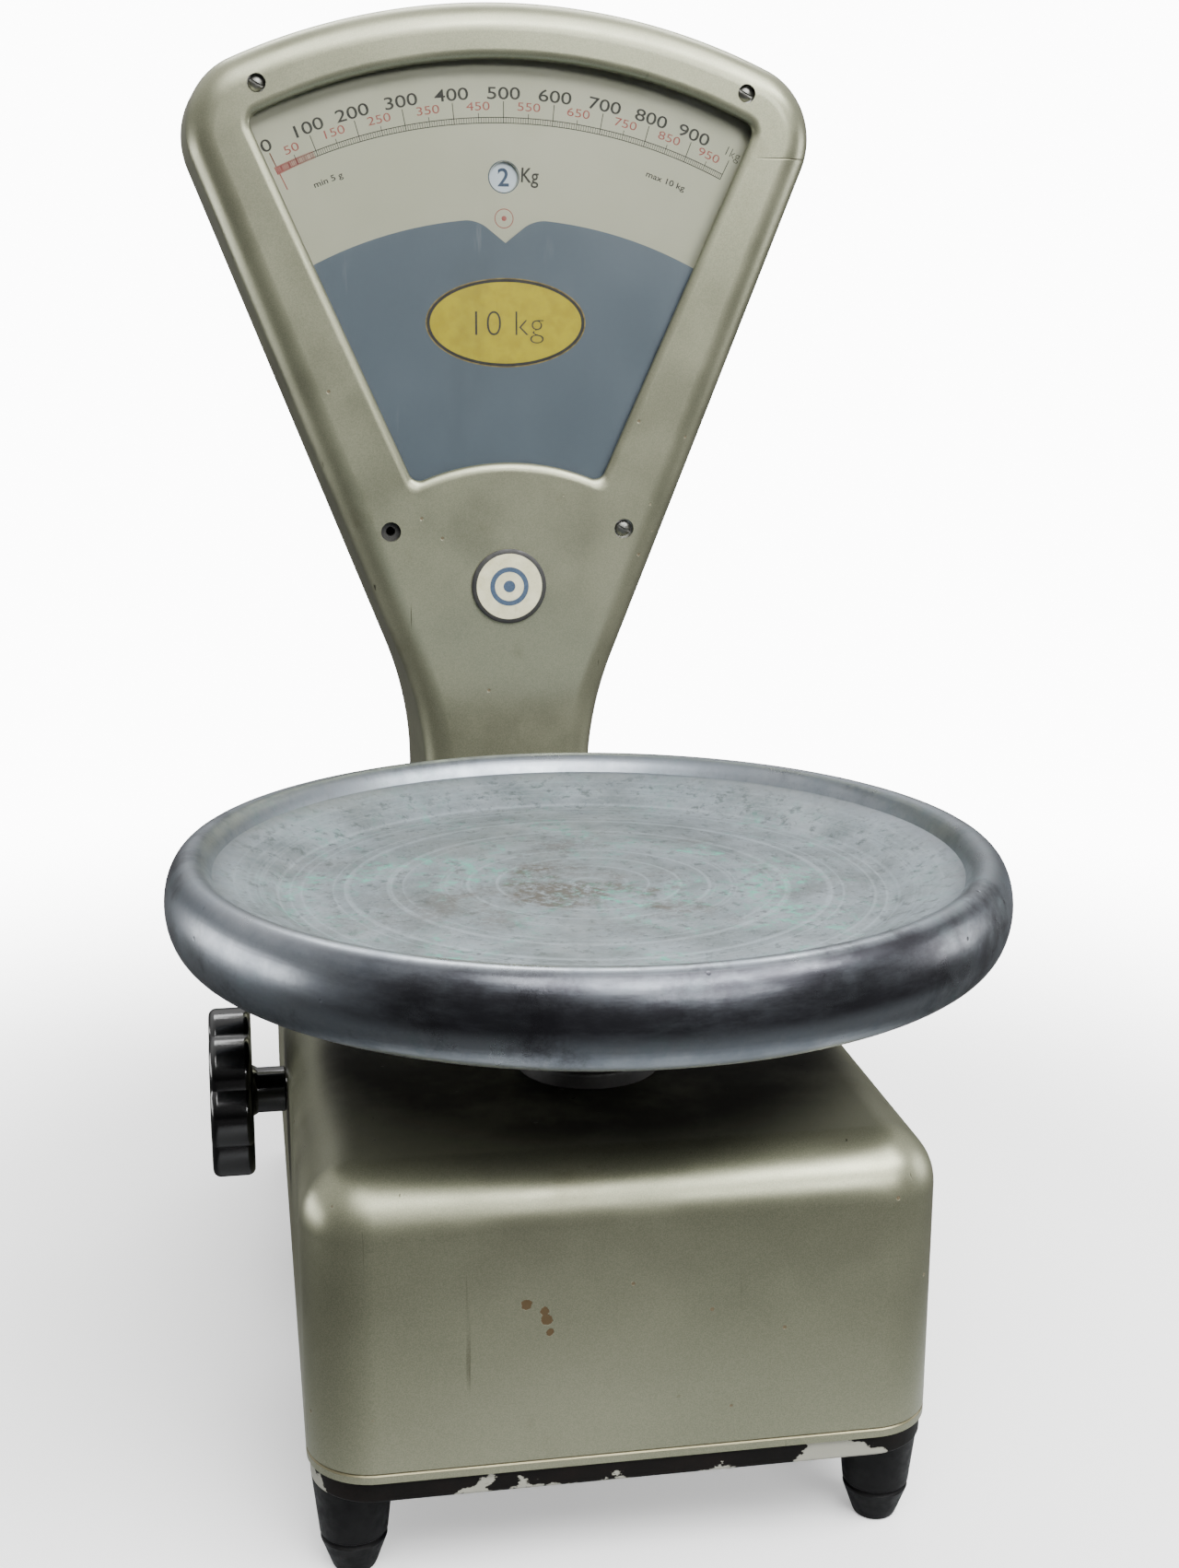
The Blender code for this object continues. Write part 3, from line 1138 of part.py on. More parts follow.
def bore_on_arbor(target, name, span, parent):
    """Cut a flat piece's hole for the pendulum's arbor."""
    tool = prism(circle(ARBOR_RADIUS + GAP, SMALL_SEGMENTS), span[0] - OVERRUN, span[1] + OVERRUN, "Y")
    combine(target, add_object(name, tool, None, parent=parent), "DIFFERENCE")


def pointer_outline():
    """Return the pointer: a round hub, a long tapering blade and a short tail."""
    hub = POINTER_HUB_RADIUS
    lean = math.asin(POINTER_ROOT_HALF / hub)
    points = [(POINTER_TIP_HALF, POINTER_LENGTH), (-POINTER_TIP_HALF, POINTER_LENGTH)]
    steps = 2 * FILLET_STEPS
    for side in (-1, 1):
        tail = [(side * POINTER_ROOT_HALF / 2, -POINTER_TAIL)]
        arc = []
        for step in range(steps + 1):
            angle = lean + (math.pi - 2 * lean) * step / steps
            arc.append((side * hub * math.sin(angle), hub * math.cos(angle)))
        points += arc + tail if side < 0 else tail + arc[::-1]
    return points


def build_pendulum(look):
    """Make the pendulum: arbor, pointer, crank and bob, turned to the zero stop."""
    axis = add_axis("pendulum_axis", (0, FACE_Y, PIVOT_Z), (0, PENDULUM_REST, 0))
    start = POINTER_SETBACK
    end = start + POINTER_THICKNESS
    blade = prism(pointer_outline(), start, end, "Y")
    pointer = add_object("pointer", blade, look["black_paint"], parent=axis)
    bore_on_arbor(pointer, "pointer_bore", (start, end), axis)
    start = BOB_SETBACK
    end = start + BOB_THICKNESS
    outline = dumbbell(BOB_HUB_RADIUS, BOB_RADIUS, BOB_STALK_HALF, BOB_ARM)
    bob = add_object("pendulum_bob", prism(outline, start, end, "Y"), look["brass"], parent=axis)
    bore_on_arbor(bob, "bob_bore", (start, end), axis)
    start = CRANK_SETBACK
    end = start + CRANK_THICKNESS
    outline = dumbbell(CRANK_EYE_RADIUS, CRANK_PIN_EYE_RADIUS, CRANK_PIN_RADIUS, CRANK_RADIUS)
    outline = turn_ring(outline, -math.pi / 2)
    crank = add_object("crank", prism(outline, start, end, "Y"), look["steel"], parent=axis)
    bore_on_arbor(crank, "crank_bore", (start, end), axis)
    middle = (start + end) / 2
    round_end = circle(CRANK_PIN_RADIUS, SMALL_SEGMENTS, (-CRANK_RADIUS, 0))
    pin = prism(round_end, middle, end + CRANK_PIN_LENGTH, "Y")
    combine(crank, add_object("crank_pin", pin, None, parent=axis), "UNION")
    tail = BRACKET_SETBACK + BRACKET_THICKNESS + OVERRUN
    collars = (POINTER_SETBACK - GAP - ARBOR_COLLAR_LENGTH,
               BOB_SETBACK + BOB_THICKNESS + GAP, CRANK_SETBACK + CRANK_THICKNESS + GAP)
    profile = [(0, collars[0])]
    for place in collars:
        close = place + ARBOR_COLLAR_LENGTH
        profile += [(ARBOR_COLLAR_RADIUS, place), (ARBOR_COLLAR_RADIUS, close), (ARBOR_RADIUS, close)]
        if place != collars[-1]:
            profile.append((ARBOR_RADIUS, collars[collars.index(place) + 1]))
    profile += [(ARBOR_RADIUS, tail), (0, tail)]
    add_object("pendulum_arbor", turned(profile, "Y", SMALL_SEGMENTS), look["steel"], parent=axis)


def fan_half_width(z, inset):
    """Return the half width of the fan's straight side at a height."""
    rise = z - HOUSING_BOTTOM - NECK_RISE
    return NECK_HALF + rise * math.tan(SIDE_ANGLE) - inset / math.cos(SIDE_ANGLE)


def build_bracket(look):
    """Make the cross bracket that carries the pendulum's arbor between the side walls."""
    low = PIVOT_Z - BRACKET_HALF_HEIGHT
    high = PIVOT_Z + BRACKET_HALF_HEIGHT
    draft = HOUSING_DRAFT * (BRACKET_SETBACK - HOUSING_EDGE) / (HOUSING_DEPTH - HOUSING_EDGE)
    inset = HOUSING_WALL + GAP - draft
    low_x = fan_half_width(low, inset)
    high_x = fan_half_width(high, inset)
    start = FACE_Y + BRACKET_SETBACK
    end = start + BRACKET_THICKNESS
    eye = BRACKET_EYE_RADIUS
    outline = rounded_polygon([
        (-low_x, low, 0), (-eye, low, eye / 2), (-eye / 2, PIVOT_Z - eye, eye / 2),
        (eye / 2, PIVOT_Z - eye, eye / 2), (eye, low, eye / 2), (low_x, low, 0), (high_x, high, 0),
        (-high_x, high, 0)])
    bracket = add_object("pendulum_bracket", prism(outline, start, end, "Y"), look["iron"])
    span = (start - OVERRUN, end + OVERRUN)
    cut_hole(bracket, "bracket_bore", ARBOR_RADIUS + GAP, (0, PIVOT_Z), span, "Y")


def knob_ring(radius):
    """Return a lobed outline whose lobes reach the given radius."""
    count = KNOB_LOBES * KNOB_LOBE_POINTS
    points = []
    for index in range(count):
        angle = 2 * math.pi * index / count
        dip = KNOB_LOBE_DEPTH * (radius / KNOB_RADIUS) * (1 - abs(math.cos(KNOB_LOBES * angle / 2)))
        points.append(((radius - dip) * math.cos(angle), (radius - dip) * math.sin(angle)))
    return points


def build_knob(look):
    """Make the lobed hand knob on the left side, hollow for its shaft."""
    axis = add_axis("knob_axis", (0, KNOB_Y, KNOB_Z))
    count = KNOB_LOBES * KNOB_LOBE_POINTS
    hub_start = -BASE_HALF - GAP
    inner = hub_start - KNOB_HUB_LENGTH
    outer = inner - KNOB_THICKNESS
    edge = KNOB_EDGE
    bore = SHAFT_RADIUS + GAP
    rings = [(circle(KNOB_RADIUS * KNOB_DISH_SHARE, count), outer + KNOB_DISH),
             (knob_ring(KNOB_RADIUS - 2 * edge), outer), (knob_ring(KNOB_RADIUS - edge), outer)]
    for step in range(1, KNOB_EDGE_STEPS + 1):
        angle = math.pi / 2 * step / KNOB_EDGE_STEPS
        radius = KNOB_RADIUS - edge * (1 - math.sin(angle))
        rings.append((knob_ring(radius), outer + edge * (1 - math.cos(angle))))
    for step in range(KNOB_EDGE_STEPS + 1):
        angle = math.pi / 2 * step / KNOB_EDGE_STEPS
        radius = KNOB_RADIUS - edge * (1 - math.cos(angle))
        rings.append((knob_ring(radius), inner - edge * (1 - math.sin(angle))))
    rings += [(circle(KNOB_HUB_RADIUS, count), inner), (circle(KNOB_HUB_RADIUS, count), hub_start),
              (circle(bore, count), hub_start), (circle(bore, count), hub_start - KNOB_BORE_DEPTH)]
    add_object("knob", loft(rings, "X"), look["bakelite"], parent=axis)
    return axis


def add_geared_shaft(name, core, gears, axis, material, parent):
    """Link a round shaft, given by (radius, start, end), and join its gears to it.

    Each gear is a list of rings for a loft along the same axis.
    """
    radius, start, end = core
    round_bar = turned([(0, start), (radius, start), (radius, end), (0, end)], axis, SMALL_SEGMENTS)
    shaft = add_object(name, round_bar, material, parent=parent)
    for number, rings in enumerate(gears):
        tool = add_object(f"{name}_gear_{number}", loft(rings, axis), None, parent=parent)
        combine(shaft, tool, "UNION")


def build_selector_shaft(look, axis):
    """Make the knob's shaft with its poise pinion and its bevel gear in one piece."""
    end = -BASE_HALF - GAP - KNOB_BORE_DEPTH + GAP
    pinion = turn_ring(gear_ring(POISE_MODULE), -math.pi / 2)
    pinion_start = -POISE_RACK_X - GEAR_WIDTH / 2
    pinion_end = pinion_start + GEAR_WIDTH
    back = -BEVEL_PITCH_RADIUS
    front = back + BEVEL_WIDTH
    scale = front / back
    bevel = gear_ring(BEVEL_MODULE)
    small = gear_ring(BEVEL_MODULE, scale)
    gears = [[(pinion, pinion_start), (pinion, pinion_end)], [(bevel, back), (small, front)]]
    core = (SHAFT_RADIUS, end, (back + front) / 2)
    add_geared_shaft("selector_shaft", core, gears, "X", look["steel"], axis)


def build_selector_bearings(look):
    """Make the bush in the cover's wall and the stand near the bevel gear."""
    wall = -BASE_HALF + COVER_WALL
    bore = SHAFT_RADIUS + GAP
    profile = [(bore, wall - COVER_WALL), (BUSH_RADIUS, wall - COVER_WALL), (BUSH_RADIUS, wall + GAP),
               (BUSH_FLANGE_RADIUS, wall + GAP), (BUSH_FLANGE_RADIUS, wall + GAP + BUSH_FLANGE),
               (BUSH_RADIUS, wall + GAP + BUSH_FLANGE), (BUSH_RADIUS, wall - COVER_WALL + BUSH_LENGTH),
               (bore, wall - COVER_WALL + BUSH_LENGTH)]
    add_object("knob_bush", turned(profile, "X", SMALL_SEGMENTS), look["brass"], (0, KNOB_Y, KNOB_Z))
    top = KNOB_Z + STAND_TOP_HALF
    outline = rounded_polygon([
        (KNOB_Y - STAND_HALF, FLOOR_Z, 0), (KNOB_Y + STAND_HALF, FLOOR_Z, 0),
        (KNOB_Y + STAND_TOP_HALF, top, STAND_TOP_HALF / 2),
        (KNOB_Y - STAND_TOP_HALF, top, STAND_TOP_HALF / 2)])
    start = -STAND_X - STAND_THICKNESS / 2
    stand = add_object("shaft_stand", prism(outline, start, start + STAND_THICKNESS, "X"), look["iron"])
    span = (start - OVERRUN, start + STAND_THICKNESS + OVERRUN)
    cut_hole(stand, "stand_bore", bore, (KNOB_Y, KNOB_Z), span, "X")


def build_lay_shaft(look):
    """Make the lay shaft that takes the knob's turn back to the column."""
    axis = add_axis("lay_axis", (0, KNOB_Y, KNOB_Z))
    front = BEVEL_PITCH_RADIUS - BEVEL_WIDTH
    back = BEVEL_PITCH_RADIUS
    gap_first = turn_ring(gear_ring(BEVEL_MODULE), math.pi / GEAR_TEETH)
    small = turn_ring(gear_ring(BEVEL_MODULE, front / back), math.pi / GEAR_TEETH)
    pinion_start = FACE_Y + NUMBER_RACK_SETBACK - KNOB_Y
    pinion_end = pinion_start + NUMBER_RACK_WIDTH
    end = pinion_end + REAR_STAND_CLEAR + STAND_THICKNESS
    pinion = gear_ring(NUMBER_MODULE)
    gears = [[(small, front), (gap_first, back)], [(pinion, pinion_start), (pinion, pinion_end)]]
    core = (SHAFT_RADIUS, (front + back) / 2, end)
    add_geared_shaft("lay_shaft", core, gears, "Y", look["steel"], axis)
    bore = SHAFT_RADIUS + GAP
    top = KNOB_Z + STAND_TOP_HALF
    leg_outer = PORTAL_LEG_INNER + PORTAL_LEG
    roof = KNOB_Z - PORTAL_ROOF_DROP
    outline = rounded_polygon([
        (-leg_outer, FLOOR_Z, 0), (-PORTAL_LEG_INNER, FLOOR_Z, 0), (-PORTAL_LEG_INNER, roof, PORTAL_LEG),
        (PORTAL_LEG_INNER, roof, PORTAL_LEG), (PORTAL_LEG_INNER, FLOOR_Z, 0), (leg_outer, FLOOR_Z, 0),
        (leg_outer, top, PORTAL_LEG), (-leg_outer, top, PORTAL_LEG)])
    start = KNOB_Y + back + PORTAL_CLEAR
    portal = add_object("gear_portal", prism(outline, start, start + STAND_THICKNESS, "Y"), look["iron"])
    span = (start - OVERRUN, start + STAND_THICKNESS + OVERRUN)
    cut_hole(portal, "portal_bore", bore, (0, KNOB_Z), span, "Y")
    outline = rounded_polygon([
        (-STAND_HALF, FLOOR_Z, 0), (STAND_HALF, FLOOR_Z, 0), (STAND_TOP_HALF, top, STAND_TOP_HALF / 2),
        (-STAND_TOP_HALF, top, STAND_TOP_HALF / 2)])
    start = KNOB_Y + pinion_end + REAR_STAND_CLEAR
    stand = add_object("rear_stand", prism(outline, start, start + STAND_THICKNESS, "Y"), look["iron"])
    span = (start - OVERRUN, start + STAND_THICKNESS + OVERRUN)
    cut_hole(stand, "rear_stand_bore", bore, (0, KNOB_Z), span, "Y")


def build_poise_rack(look):
    """Make the toothed rack whose slotted tab pushes the poise, and the rack's guide."""
    pitch_z = KNOB_Z - POISE_PITCH_RADIUS
    margin = 2 * POISE_PITCH_RADIUS * ROOT_SHARE * TOOTH_SHARE
    first = KNOB_Y - POISE_PITCH_RADIUS * KNOB_AHEAD - margin
    last = KNOB_Y + POISE_PITCH_RADIUS * KNOB_BACK + margin
    edge = [(place, pitch_z + height) for place, height in rack_teeth(POISE_MODULE, first, last, KNOB_Y)]
    low = pitch_z - POISE_RACK_DEPTH
    root = pitch_z - POISE_MODULE * ROOT_SHARE
    tab_low = LEVER_Z - TAB_DROP
    outline = [(edge[0][0], low)] + edge + [
        (POISE_Y + TAB_HALF, root), (POISE_Y + TAB_HALF, tab_low), (POISE_Y - TAB_HALF, tab_low),
        (POISE_Y - TAB_HALF, low)]
    start = -POISE_RACK_X - POISE_RACK_WIDTH / 2
    end = start + POISE_RACK_WIDTH
    rack = add_object("poise_rack", prism(outline, start, end, "X"), look["brass"])
    slot_middle = LEVER_Z + (TAB_SLOT_RISE - TAB_SLOT_DROP) / 2
    slot_half = (TAB_SLOT_RISE + TAB_SLOT_DROP) / 2 - TAB_SLOT_HALF
    slot = [(POISE_Y - v, slot_middle + u) for u, v in obround(slot_half, TAB_SLOT_HALF, (0, 0))]
    tool = prism(slot, start - OVERRUN, end + OVERRUN, "X")
    combine(rack, add_object("tab_slot", tool, None), "DIFFERENCE")
    inner = POISE_RACK_WIDTH / 2 + GAP
    outer = inner + GUIDE_WALL
    floor = low - GAP
    lip = floor + GUIDE_CHEEK
    section = [(-outer, FLOOR_Z), (outer, FLOOR_Z), (outer, lip), (inner, lip), (inner, floor),
               (-inner, floor), (-inner, lip), (-outer, lip)]
    guide = prism(place_outline(section, -POISE_RACK_X, 0), KNOB_Y - GUIDE_HALF_LENGTH,
                  KNOB_Y + GUIDE_HALF_LENGTH, "Y")
    add_object("rack_guide", guide, look["iron"])


def build_poise(look):
    """Make the sliding poise that straddles the lever, with its drive pin."""
    inner = LEVER_THICKNESS / 2 + GAP
    slim = LEVER_HALF_DEPTH + GAP
    half = POISE_LENGTH / 2
    section = [(-POISE_HALF_WIDTH, -POISE_DROP), (-inner, -POISE_DROP), (-inner, slim), (inner, slim),
               (inner, -POISE_DROP), (POISE_HALF_WIDTH, -POISE_DROP), (POISE_HALF_WIDTH, POISE_TOP),
               (-POISE_HALF_WIDTH, POISE_TOP)]
    place = (0, POISE_Y, LEVER_Z)
    poise = add_object("poise", prism(section, -half, half, "Y"), look["brass"], place)
    start = -POISE_RACK_X - POISE_RACK_WIDTH / 2 - OVERRUN
    end = -(POISE_HALF_WIDTH + inner) / 2
    pin = prism(circle(POISE_PIN_RADIUS, SMALL_SEGMENTS), start, end, "X")
    combine(poise, add_object("poise_pin", pin, None, place), "UNION")


def build_number_rack(look):
    """Make the upright rack between the lay shaft and the number disc, and its guide."""
    margin = NUMBER_PITCH_RADIUS * ROOT_SHARE * TOOTH_SHARE * 2
    down = NUMBER_PITCH_RADIUS * KNOB_AHEAD + margin
    up = NUMBER_PITCH_RADIUS * KNOB_BACK + margin
    outline = []
    for middle in (KNOB_Z, NUMBER_AXIS_Z):
        teeth = rack_teeth(NUMBER_MODULE, middle - up, middle + down, middle)
        outline += [(NUMBER_PITCH_RADIUS - height, place) for place, height in teeth]
    back = NUMBER_PITCH_RADIUS + NUMBER_RACK_DEPTH
    outline += [(back, outline[-1][1]), (back, outline[0][1])]
    start = FACE_Y + NUMBER_RACK_SETBACK
    end = start + NUMBER_RACK_WIDTH
    add_object("number_rack", prism(outline, start, end, "Y"), look["brass"])
    low_x = NUMBER_PITCH_RADIUS + NUMBER_MODULE * ROOT_SHARE - GAP
    high_x = back + GAP
    wall = RACK_GUIDE_WALL
    rear = HOUSING_REAR
    front = end - RACK_GUIDE_LAP
    section = [(low_x - wall, front), (low_x, front), (low_x, end + GAP), (high_x, end + GAP),
               (high_x, front), (high_x + wall, front), (high_x + wall, rear), (low_x - wall, rear)]
    low = HOUSING_BOTTOM + RACK_GUIDE_RISE
    add_object("number_rack_guide", prism(section, low, low + RACK_GUIDE_HEIGHT, "Z"), look["iron"])


def build_number_disc(look):
    """Make the number disc, its arbor with a pinion, and the bush on the back cover."""
    place = (0, FACE_Y, NUMBER_AXIS_Z)
    axis = add_axis("number_axis", place)
    start = CHART_SETBACK + CHART_THICKNESS + NUMBER_DISC_CLEAR
    end = start + NUMBER_DISC_THICKNESS
    bore = ARBOR_RADIUS + GAP
    disc = turned([(bore, start), (NUMBER_DISC_RADIUS, start), (NUMBER_DISC_RADIUS, end), (bore, end)], "Y")
    add_object("number_disc", disc, look["chart_card"], parent=axis)
    pinion = gear_ring(NUMBER_MODULE)
    pinion_start = NUMBER_RACK_SETBACK
    pinion_end = pinion_start + NUMBER_RACK_WIDTH
    tail = HOUSING_DEPTH - GAP
    gears = [[(pinion, pinion_start), (pinion, pinion_end)]]
    add_geared_shaft("number_arbor", (ARBOR_RADIUS, start, tail), gears, "Y", look["steel"], axis)
    front = pinion_end + RUN_GAP
    flange = HOUSING_DEPTH - DISC_BUSH_FLANGE
    rear = HOUSING_DEPTH
    profile = [(bore, front), (DISC_BUSH_RADIUS, front), (DISC_BUSH_RADIUS, flange),
               (DISC_BUSH_FLANGE_RADIUS, flange), (DISC_BUSH_FLANGE_RADIUS, rear), (bore, rear)]
    add_object("number_disc_bush", turned(profile, "Y", SMALL_SEGMENTS), look["brass"], place)


def build_scale():
    """Make the whole scale."""
    clear_scene()
    look = make_materials()
    build_base_casting(look)
    build_feet(look)
    build_base_cover(look)
    build_stem_collar(look)
    build_fan_housing(look)
    build_back_cover(look)
    build_dial(look)
    build_posts(look)
    build_pan(look)
    build_carrier(look)
    build_dashpot(look)
    build_lever(look)
    build_fulcrum(look)
    build_check_link(look)
    build_stop(look)
    build_draft_link(look)
    build_pendulum(look)
    build_bracket(look)
    axis = build_knob(look)
    build_selector_shaft(look, axis)
    build_selector_bearings(look)
    build_lay_shaft(look)
    build_poise_rack(look)
    build_poise(look)
    build_number_rack(look)
    build_number_disc(look)


build_scale()
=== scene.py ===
"""Looks of a counter weighing scale: a fan dial, a round pan, a box base and a side knob.

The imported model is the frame.  Each sub-assembly is a class whose fields hold its sizes
in metres and whose methods build its meshes with bmesh operators and dress them.  The
origin lies on the floor in the middle of the scale, +Y points to the dial's back.
"""
import json
import logging
import math
from dataclasses import dataclass
from enum import Enum
from functools import lru_cache
from typing import Any, Iterable

import bmesh
import bpy
from mathutils import Matrix, Vector


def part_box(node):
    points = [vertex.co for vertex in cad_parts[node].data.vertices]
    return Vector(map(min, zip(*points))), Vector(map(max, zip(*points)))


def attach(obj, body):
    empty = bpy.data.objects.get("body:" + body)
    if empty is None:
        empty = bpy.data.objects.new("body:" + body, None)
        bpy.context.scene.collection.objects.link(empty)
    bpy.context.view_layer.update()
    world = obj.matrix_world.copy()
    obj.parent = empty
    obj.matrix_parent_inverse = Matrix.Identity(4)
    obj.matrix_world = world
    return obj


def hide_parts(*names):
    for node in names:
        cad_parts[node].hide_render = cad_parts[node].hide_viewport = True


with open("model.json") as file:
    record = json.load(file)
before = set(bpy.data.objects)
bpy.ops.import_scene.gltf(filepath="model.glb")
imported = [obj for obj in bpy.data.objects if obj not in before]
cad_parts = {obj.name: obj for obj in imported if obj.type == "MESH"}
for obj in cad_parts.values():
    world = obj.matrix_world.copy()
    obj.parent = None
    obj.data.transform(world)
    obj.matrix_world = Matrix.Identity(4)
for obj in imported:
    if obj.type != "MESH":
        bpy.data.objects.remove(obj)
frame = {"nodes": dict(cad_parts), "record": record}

logging.basicConfig(level=logging.INFO, format="%(message)s")
LOG = logging.getLogger("counter_scale")
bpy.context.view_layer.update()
MERGE = 1e-6                  # vertices nearer than this are one
FULL_TURN = 2 * math.pi
QUARTER = math.pi / 2
SMOOTH = math.radians(32)     # edges turn sharp above this angle
BACKDROP = 12.0               # how bright the background is
INK = 0.00002                 # how thick print lies on its ground

Triple = tuple[float, float, float]
Pair = tuple[float, float]
Mesh = bmesh.types.BMesh


class Body(Enum):
    """The bodies that this script's pieces ride on."""

    FRAME = "frame"
    PAN = "pan"
    KNOB = "knob"
    NUMBER_DISC = "number_disc"


class Slot(Enum):
    """The record's material slots."""

    GOLD_PAINT = "gold_paint"
    BLACK_IRON = "black_iron"
    RUBBER = "rubber"
    CAST_ALUMINIUM = "cast_aluminium"
    STEEL = "steel"
    IRON = "iron"
    BRASS = "brass"
    BAKELITE = "bakelite"
    GLASS = "glass"
    MASK_PAINT = "mask_paint"
    CHART_CARD = "chart_card"
    BADGE_ENAMEL = "badge_enamel"
    BLACK_PAINT = "black_paint"


def shade(red: int, green: int, blue: int) -> Triple:
    """Turns a colour as seen, 0 to 255, into the linear values that a shader takes."""
    def linear(value: int) -> float:
        """Undoes the display's curve for one value."""
        share = value / 255
        return share / 12.92 if share <= 0.04045 else ((share + 0.055) / 1.055) ** 2.4

    return linear(red), linear(green), linear(blue)


class Graph:
    """A node tree, with a method for each kind of node that the finishes use."""

    def __init__(self, tree: bpy.types.NodeTree, coordinates: str = "Object") -> None:
        """Takes a node tree and the coordinates that it reads."""
        self.tree = tree
        self.coordinates = self.node("ShaderNodeTexCoord", {}).outputs[coordinates]

    def put(self, target: Any, value: Any) -> None:
        """Links a socket to an input, or sets the input to a value."""
        if isinstance(value, bpy.types.NodeSocket):
            self.tree.links.new(value, target)
        else:
            target.default_value = value

    def node(self, kind: str, inputs: dict[int | str, Any]) -> bpy.types.Node:
        """Adds a node and feeds its inputs."""
        node = self.tree.nodes.new(kind)
        for name, value in inputs.items():
            self.put(node.inputs[name], value)
        return node

    def shader(self, inputs: dict[str, Any]) -> None:
        """Feeds inputs of the material's shader."""
        for name, value in inputs.items():
            self.put(self.tree.nodes["Principled BSDF"].inputs[name], value)

    def mapped(self, shift: Triple = (0, 0, 0), stretch: Triple = (1, 1, 1)) -> Any:
        """Shifts and stretches the coordinates."""
        return self.node("ShaderNodeMapping", {"Vector": self.coordinates, "Location": shift,
                                               "Scale": stretch}).outputs["Vector"]

    def noise(self, scale: float, detail: float = 3.0, rough: float = 0.55, vector: Any = None) -> Any:
        """Returns a soft noise from 0 to 1.

        Args:
            scale: Its waves for each metre.
            detail: How many finer layers it has.
            rough: How strong the finer layers are.
            vector: The coordinates that it reads, the object's own if left out.

        Returns:
            The noise's socket.
        """
        return self.node("ShaderNodeTexNoise", {"Vector": vector or self.coordinates, "Scale": scale,
                                                "Detail": detail, "Roughness": rough}).outputs[0]

    def cells(self, scale: float, vector: Any = None) -> Any:
        """Returns the distance to the nearest of scattered points."""
        return self.node("ShaderNodeTexVoronoi", {"Vector": vector or self.coordinates,
                                                  "Scale": scale}).outputs["Distance"]

    def combine(self, kind: str, first: Any, second: Any = 0.0) -> Any:
        """Returns the result of one Math node."""
        node = self.node("ShaderNodeMath", {0: first, 1: second})
        node.operation = kind
        return node.outputs[0]

    def times(self, first: Any, *others: Any) -> Any:
        """Multiplies values."""
        for other in others:
            first = self.combine("MULTIPLY", first, other)
        return first

    def ramp(self, value: Any, low: float, high: float, to_low: float = 0.0, to_high: float = 1.0) -> Any:
        """Maps a value smoothly from one range to another, clamped at both ends.

        Args:
            value: The value's socket.
            low: Where the range starts.
            high: Where it ends.
            to_low: What low becomes.
            to_high: What high becomes.

        Returns:
            The mapped value's socket.
        """
        node = self.node("ShaderNodeMapRange", {"Value": value, "From Min": low, "From Max": high,
                                                "To Min": to_low, "To Max": to_high})
        node.interpolation_type = "SMOOTHSTEP"
        return node.outputs["Result"]

    def clouds(self, scale: float, low: float, high: float, to: Pair = (0.0, 1.0), detail: float = 3.0,
               rough: float = 0.55, vector: Any = None) -> Any:
        """Returns a noise that is mapped smoothly from low and high to a pair of values."""
        return self.ramp(self.noise(scale, detail, rough, vector), low, high, *to)

    def axis(self, name: str, vector: Any = None) -> Any:
        """Returns one coordinate, X, Y or Z."""
        return self.node("ShaderNodeSeparateXYZ", {0: vector or self.coordinates}).outputs[name]

    def distance(self, vector: Any, point: Triple) -> Any:
        """Returns how far a vector lies from a point."""
        node = self.node("ShaderNodeVectorMath", {0: vector, 1: point})
        node.operation = "DISTANCE"
        return node.outputs["Value"]

    def mix(self, share: Any, first: Any, second: Any) -> Any:
        """Blends two colours by a share."""
        first, second = ((*tone, 1.0) if isinstance(tone, tuple) else tone for tone in (first, second))
        node = self.node("ShaderNodeMix", {0: share, 6: first, 7: second})
        node.data_type = "RGBA"
        return node.outputs[2]

    def stain(self, colour: Any, tone: Any, *shares: Any) -> Any:
        """Lays a tone over a colour by the product of shares."""
        return self.mix(self.times(*shares), colour, tone)

    def bump(self, height: Any, depth: float, strength: float) -> None:
        """Raises the surface by a height times a depth, over any bump made before."""
        node = self.node("ShaderNodeBump", {"Strength": strength, "Distance": depth, "Height": height})
        normal = self.tree.nodes["Principled BSDF"].inputs["Normal"]
        if normal.is_linked:
            self.put(node.inputs["Normal"], normal.links[0].from_socket)
        self.put(normal, node.outputs["Normal"])


@dataclass(frozen=True)
class Finish:
    """A surface finish: an even metal value and the colours that its method paints."""

    name: str
    colour: Triple
    second: Triple
    roughness: float = 0.5
    metal: float = 0.0
    coat: float = 0.0
    scale: float = 60.0       # the mottling's waves for each metre
    gloss: float = 0.5        # the strength of the shine, 0.5 for plain paint

    def paint(self, graph: Graph) -> None:
        """Paints soft mottling between the two colours, with a fine grain."""
        mottle = graph.clouds(self.scale, 0.3, 0.7, detail=4.0)
        rough = (self.roughness * 0.85, self.roughness * 1.2)
        graph.shader({"Base Color": graph.mix(mottle, self.colour, self.second),
                      "Roughness": graph.clouds(self.scale * 3, 0.3, 0.7, rough)})
        graph.bump(graph.noise(self.scale * 20), 0.00008, 0.4)

    def material(self) -> bpy.types.Material:
        """Builds the material."""
        material = bpy.data.materials.new(self.name)
        material.use_nodes = True
        graph = Graph(material.node_tree)
        graph.shader({"Metallic": self.metal, "Coat Weight": self.coat, "Coat Roughness": 0.12,
                      "Specular IOR Level": self.gloss})
        self.paint(graph)
        return material


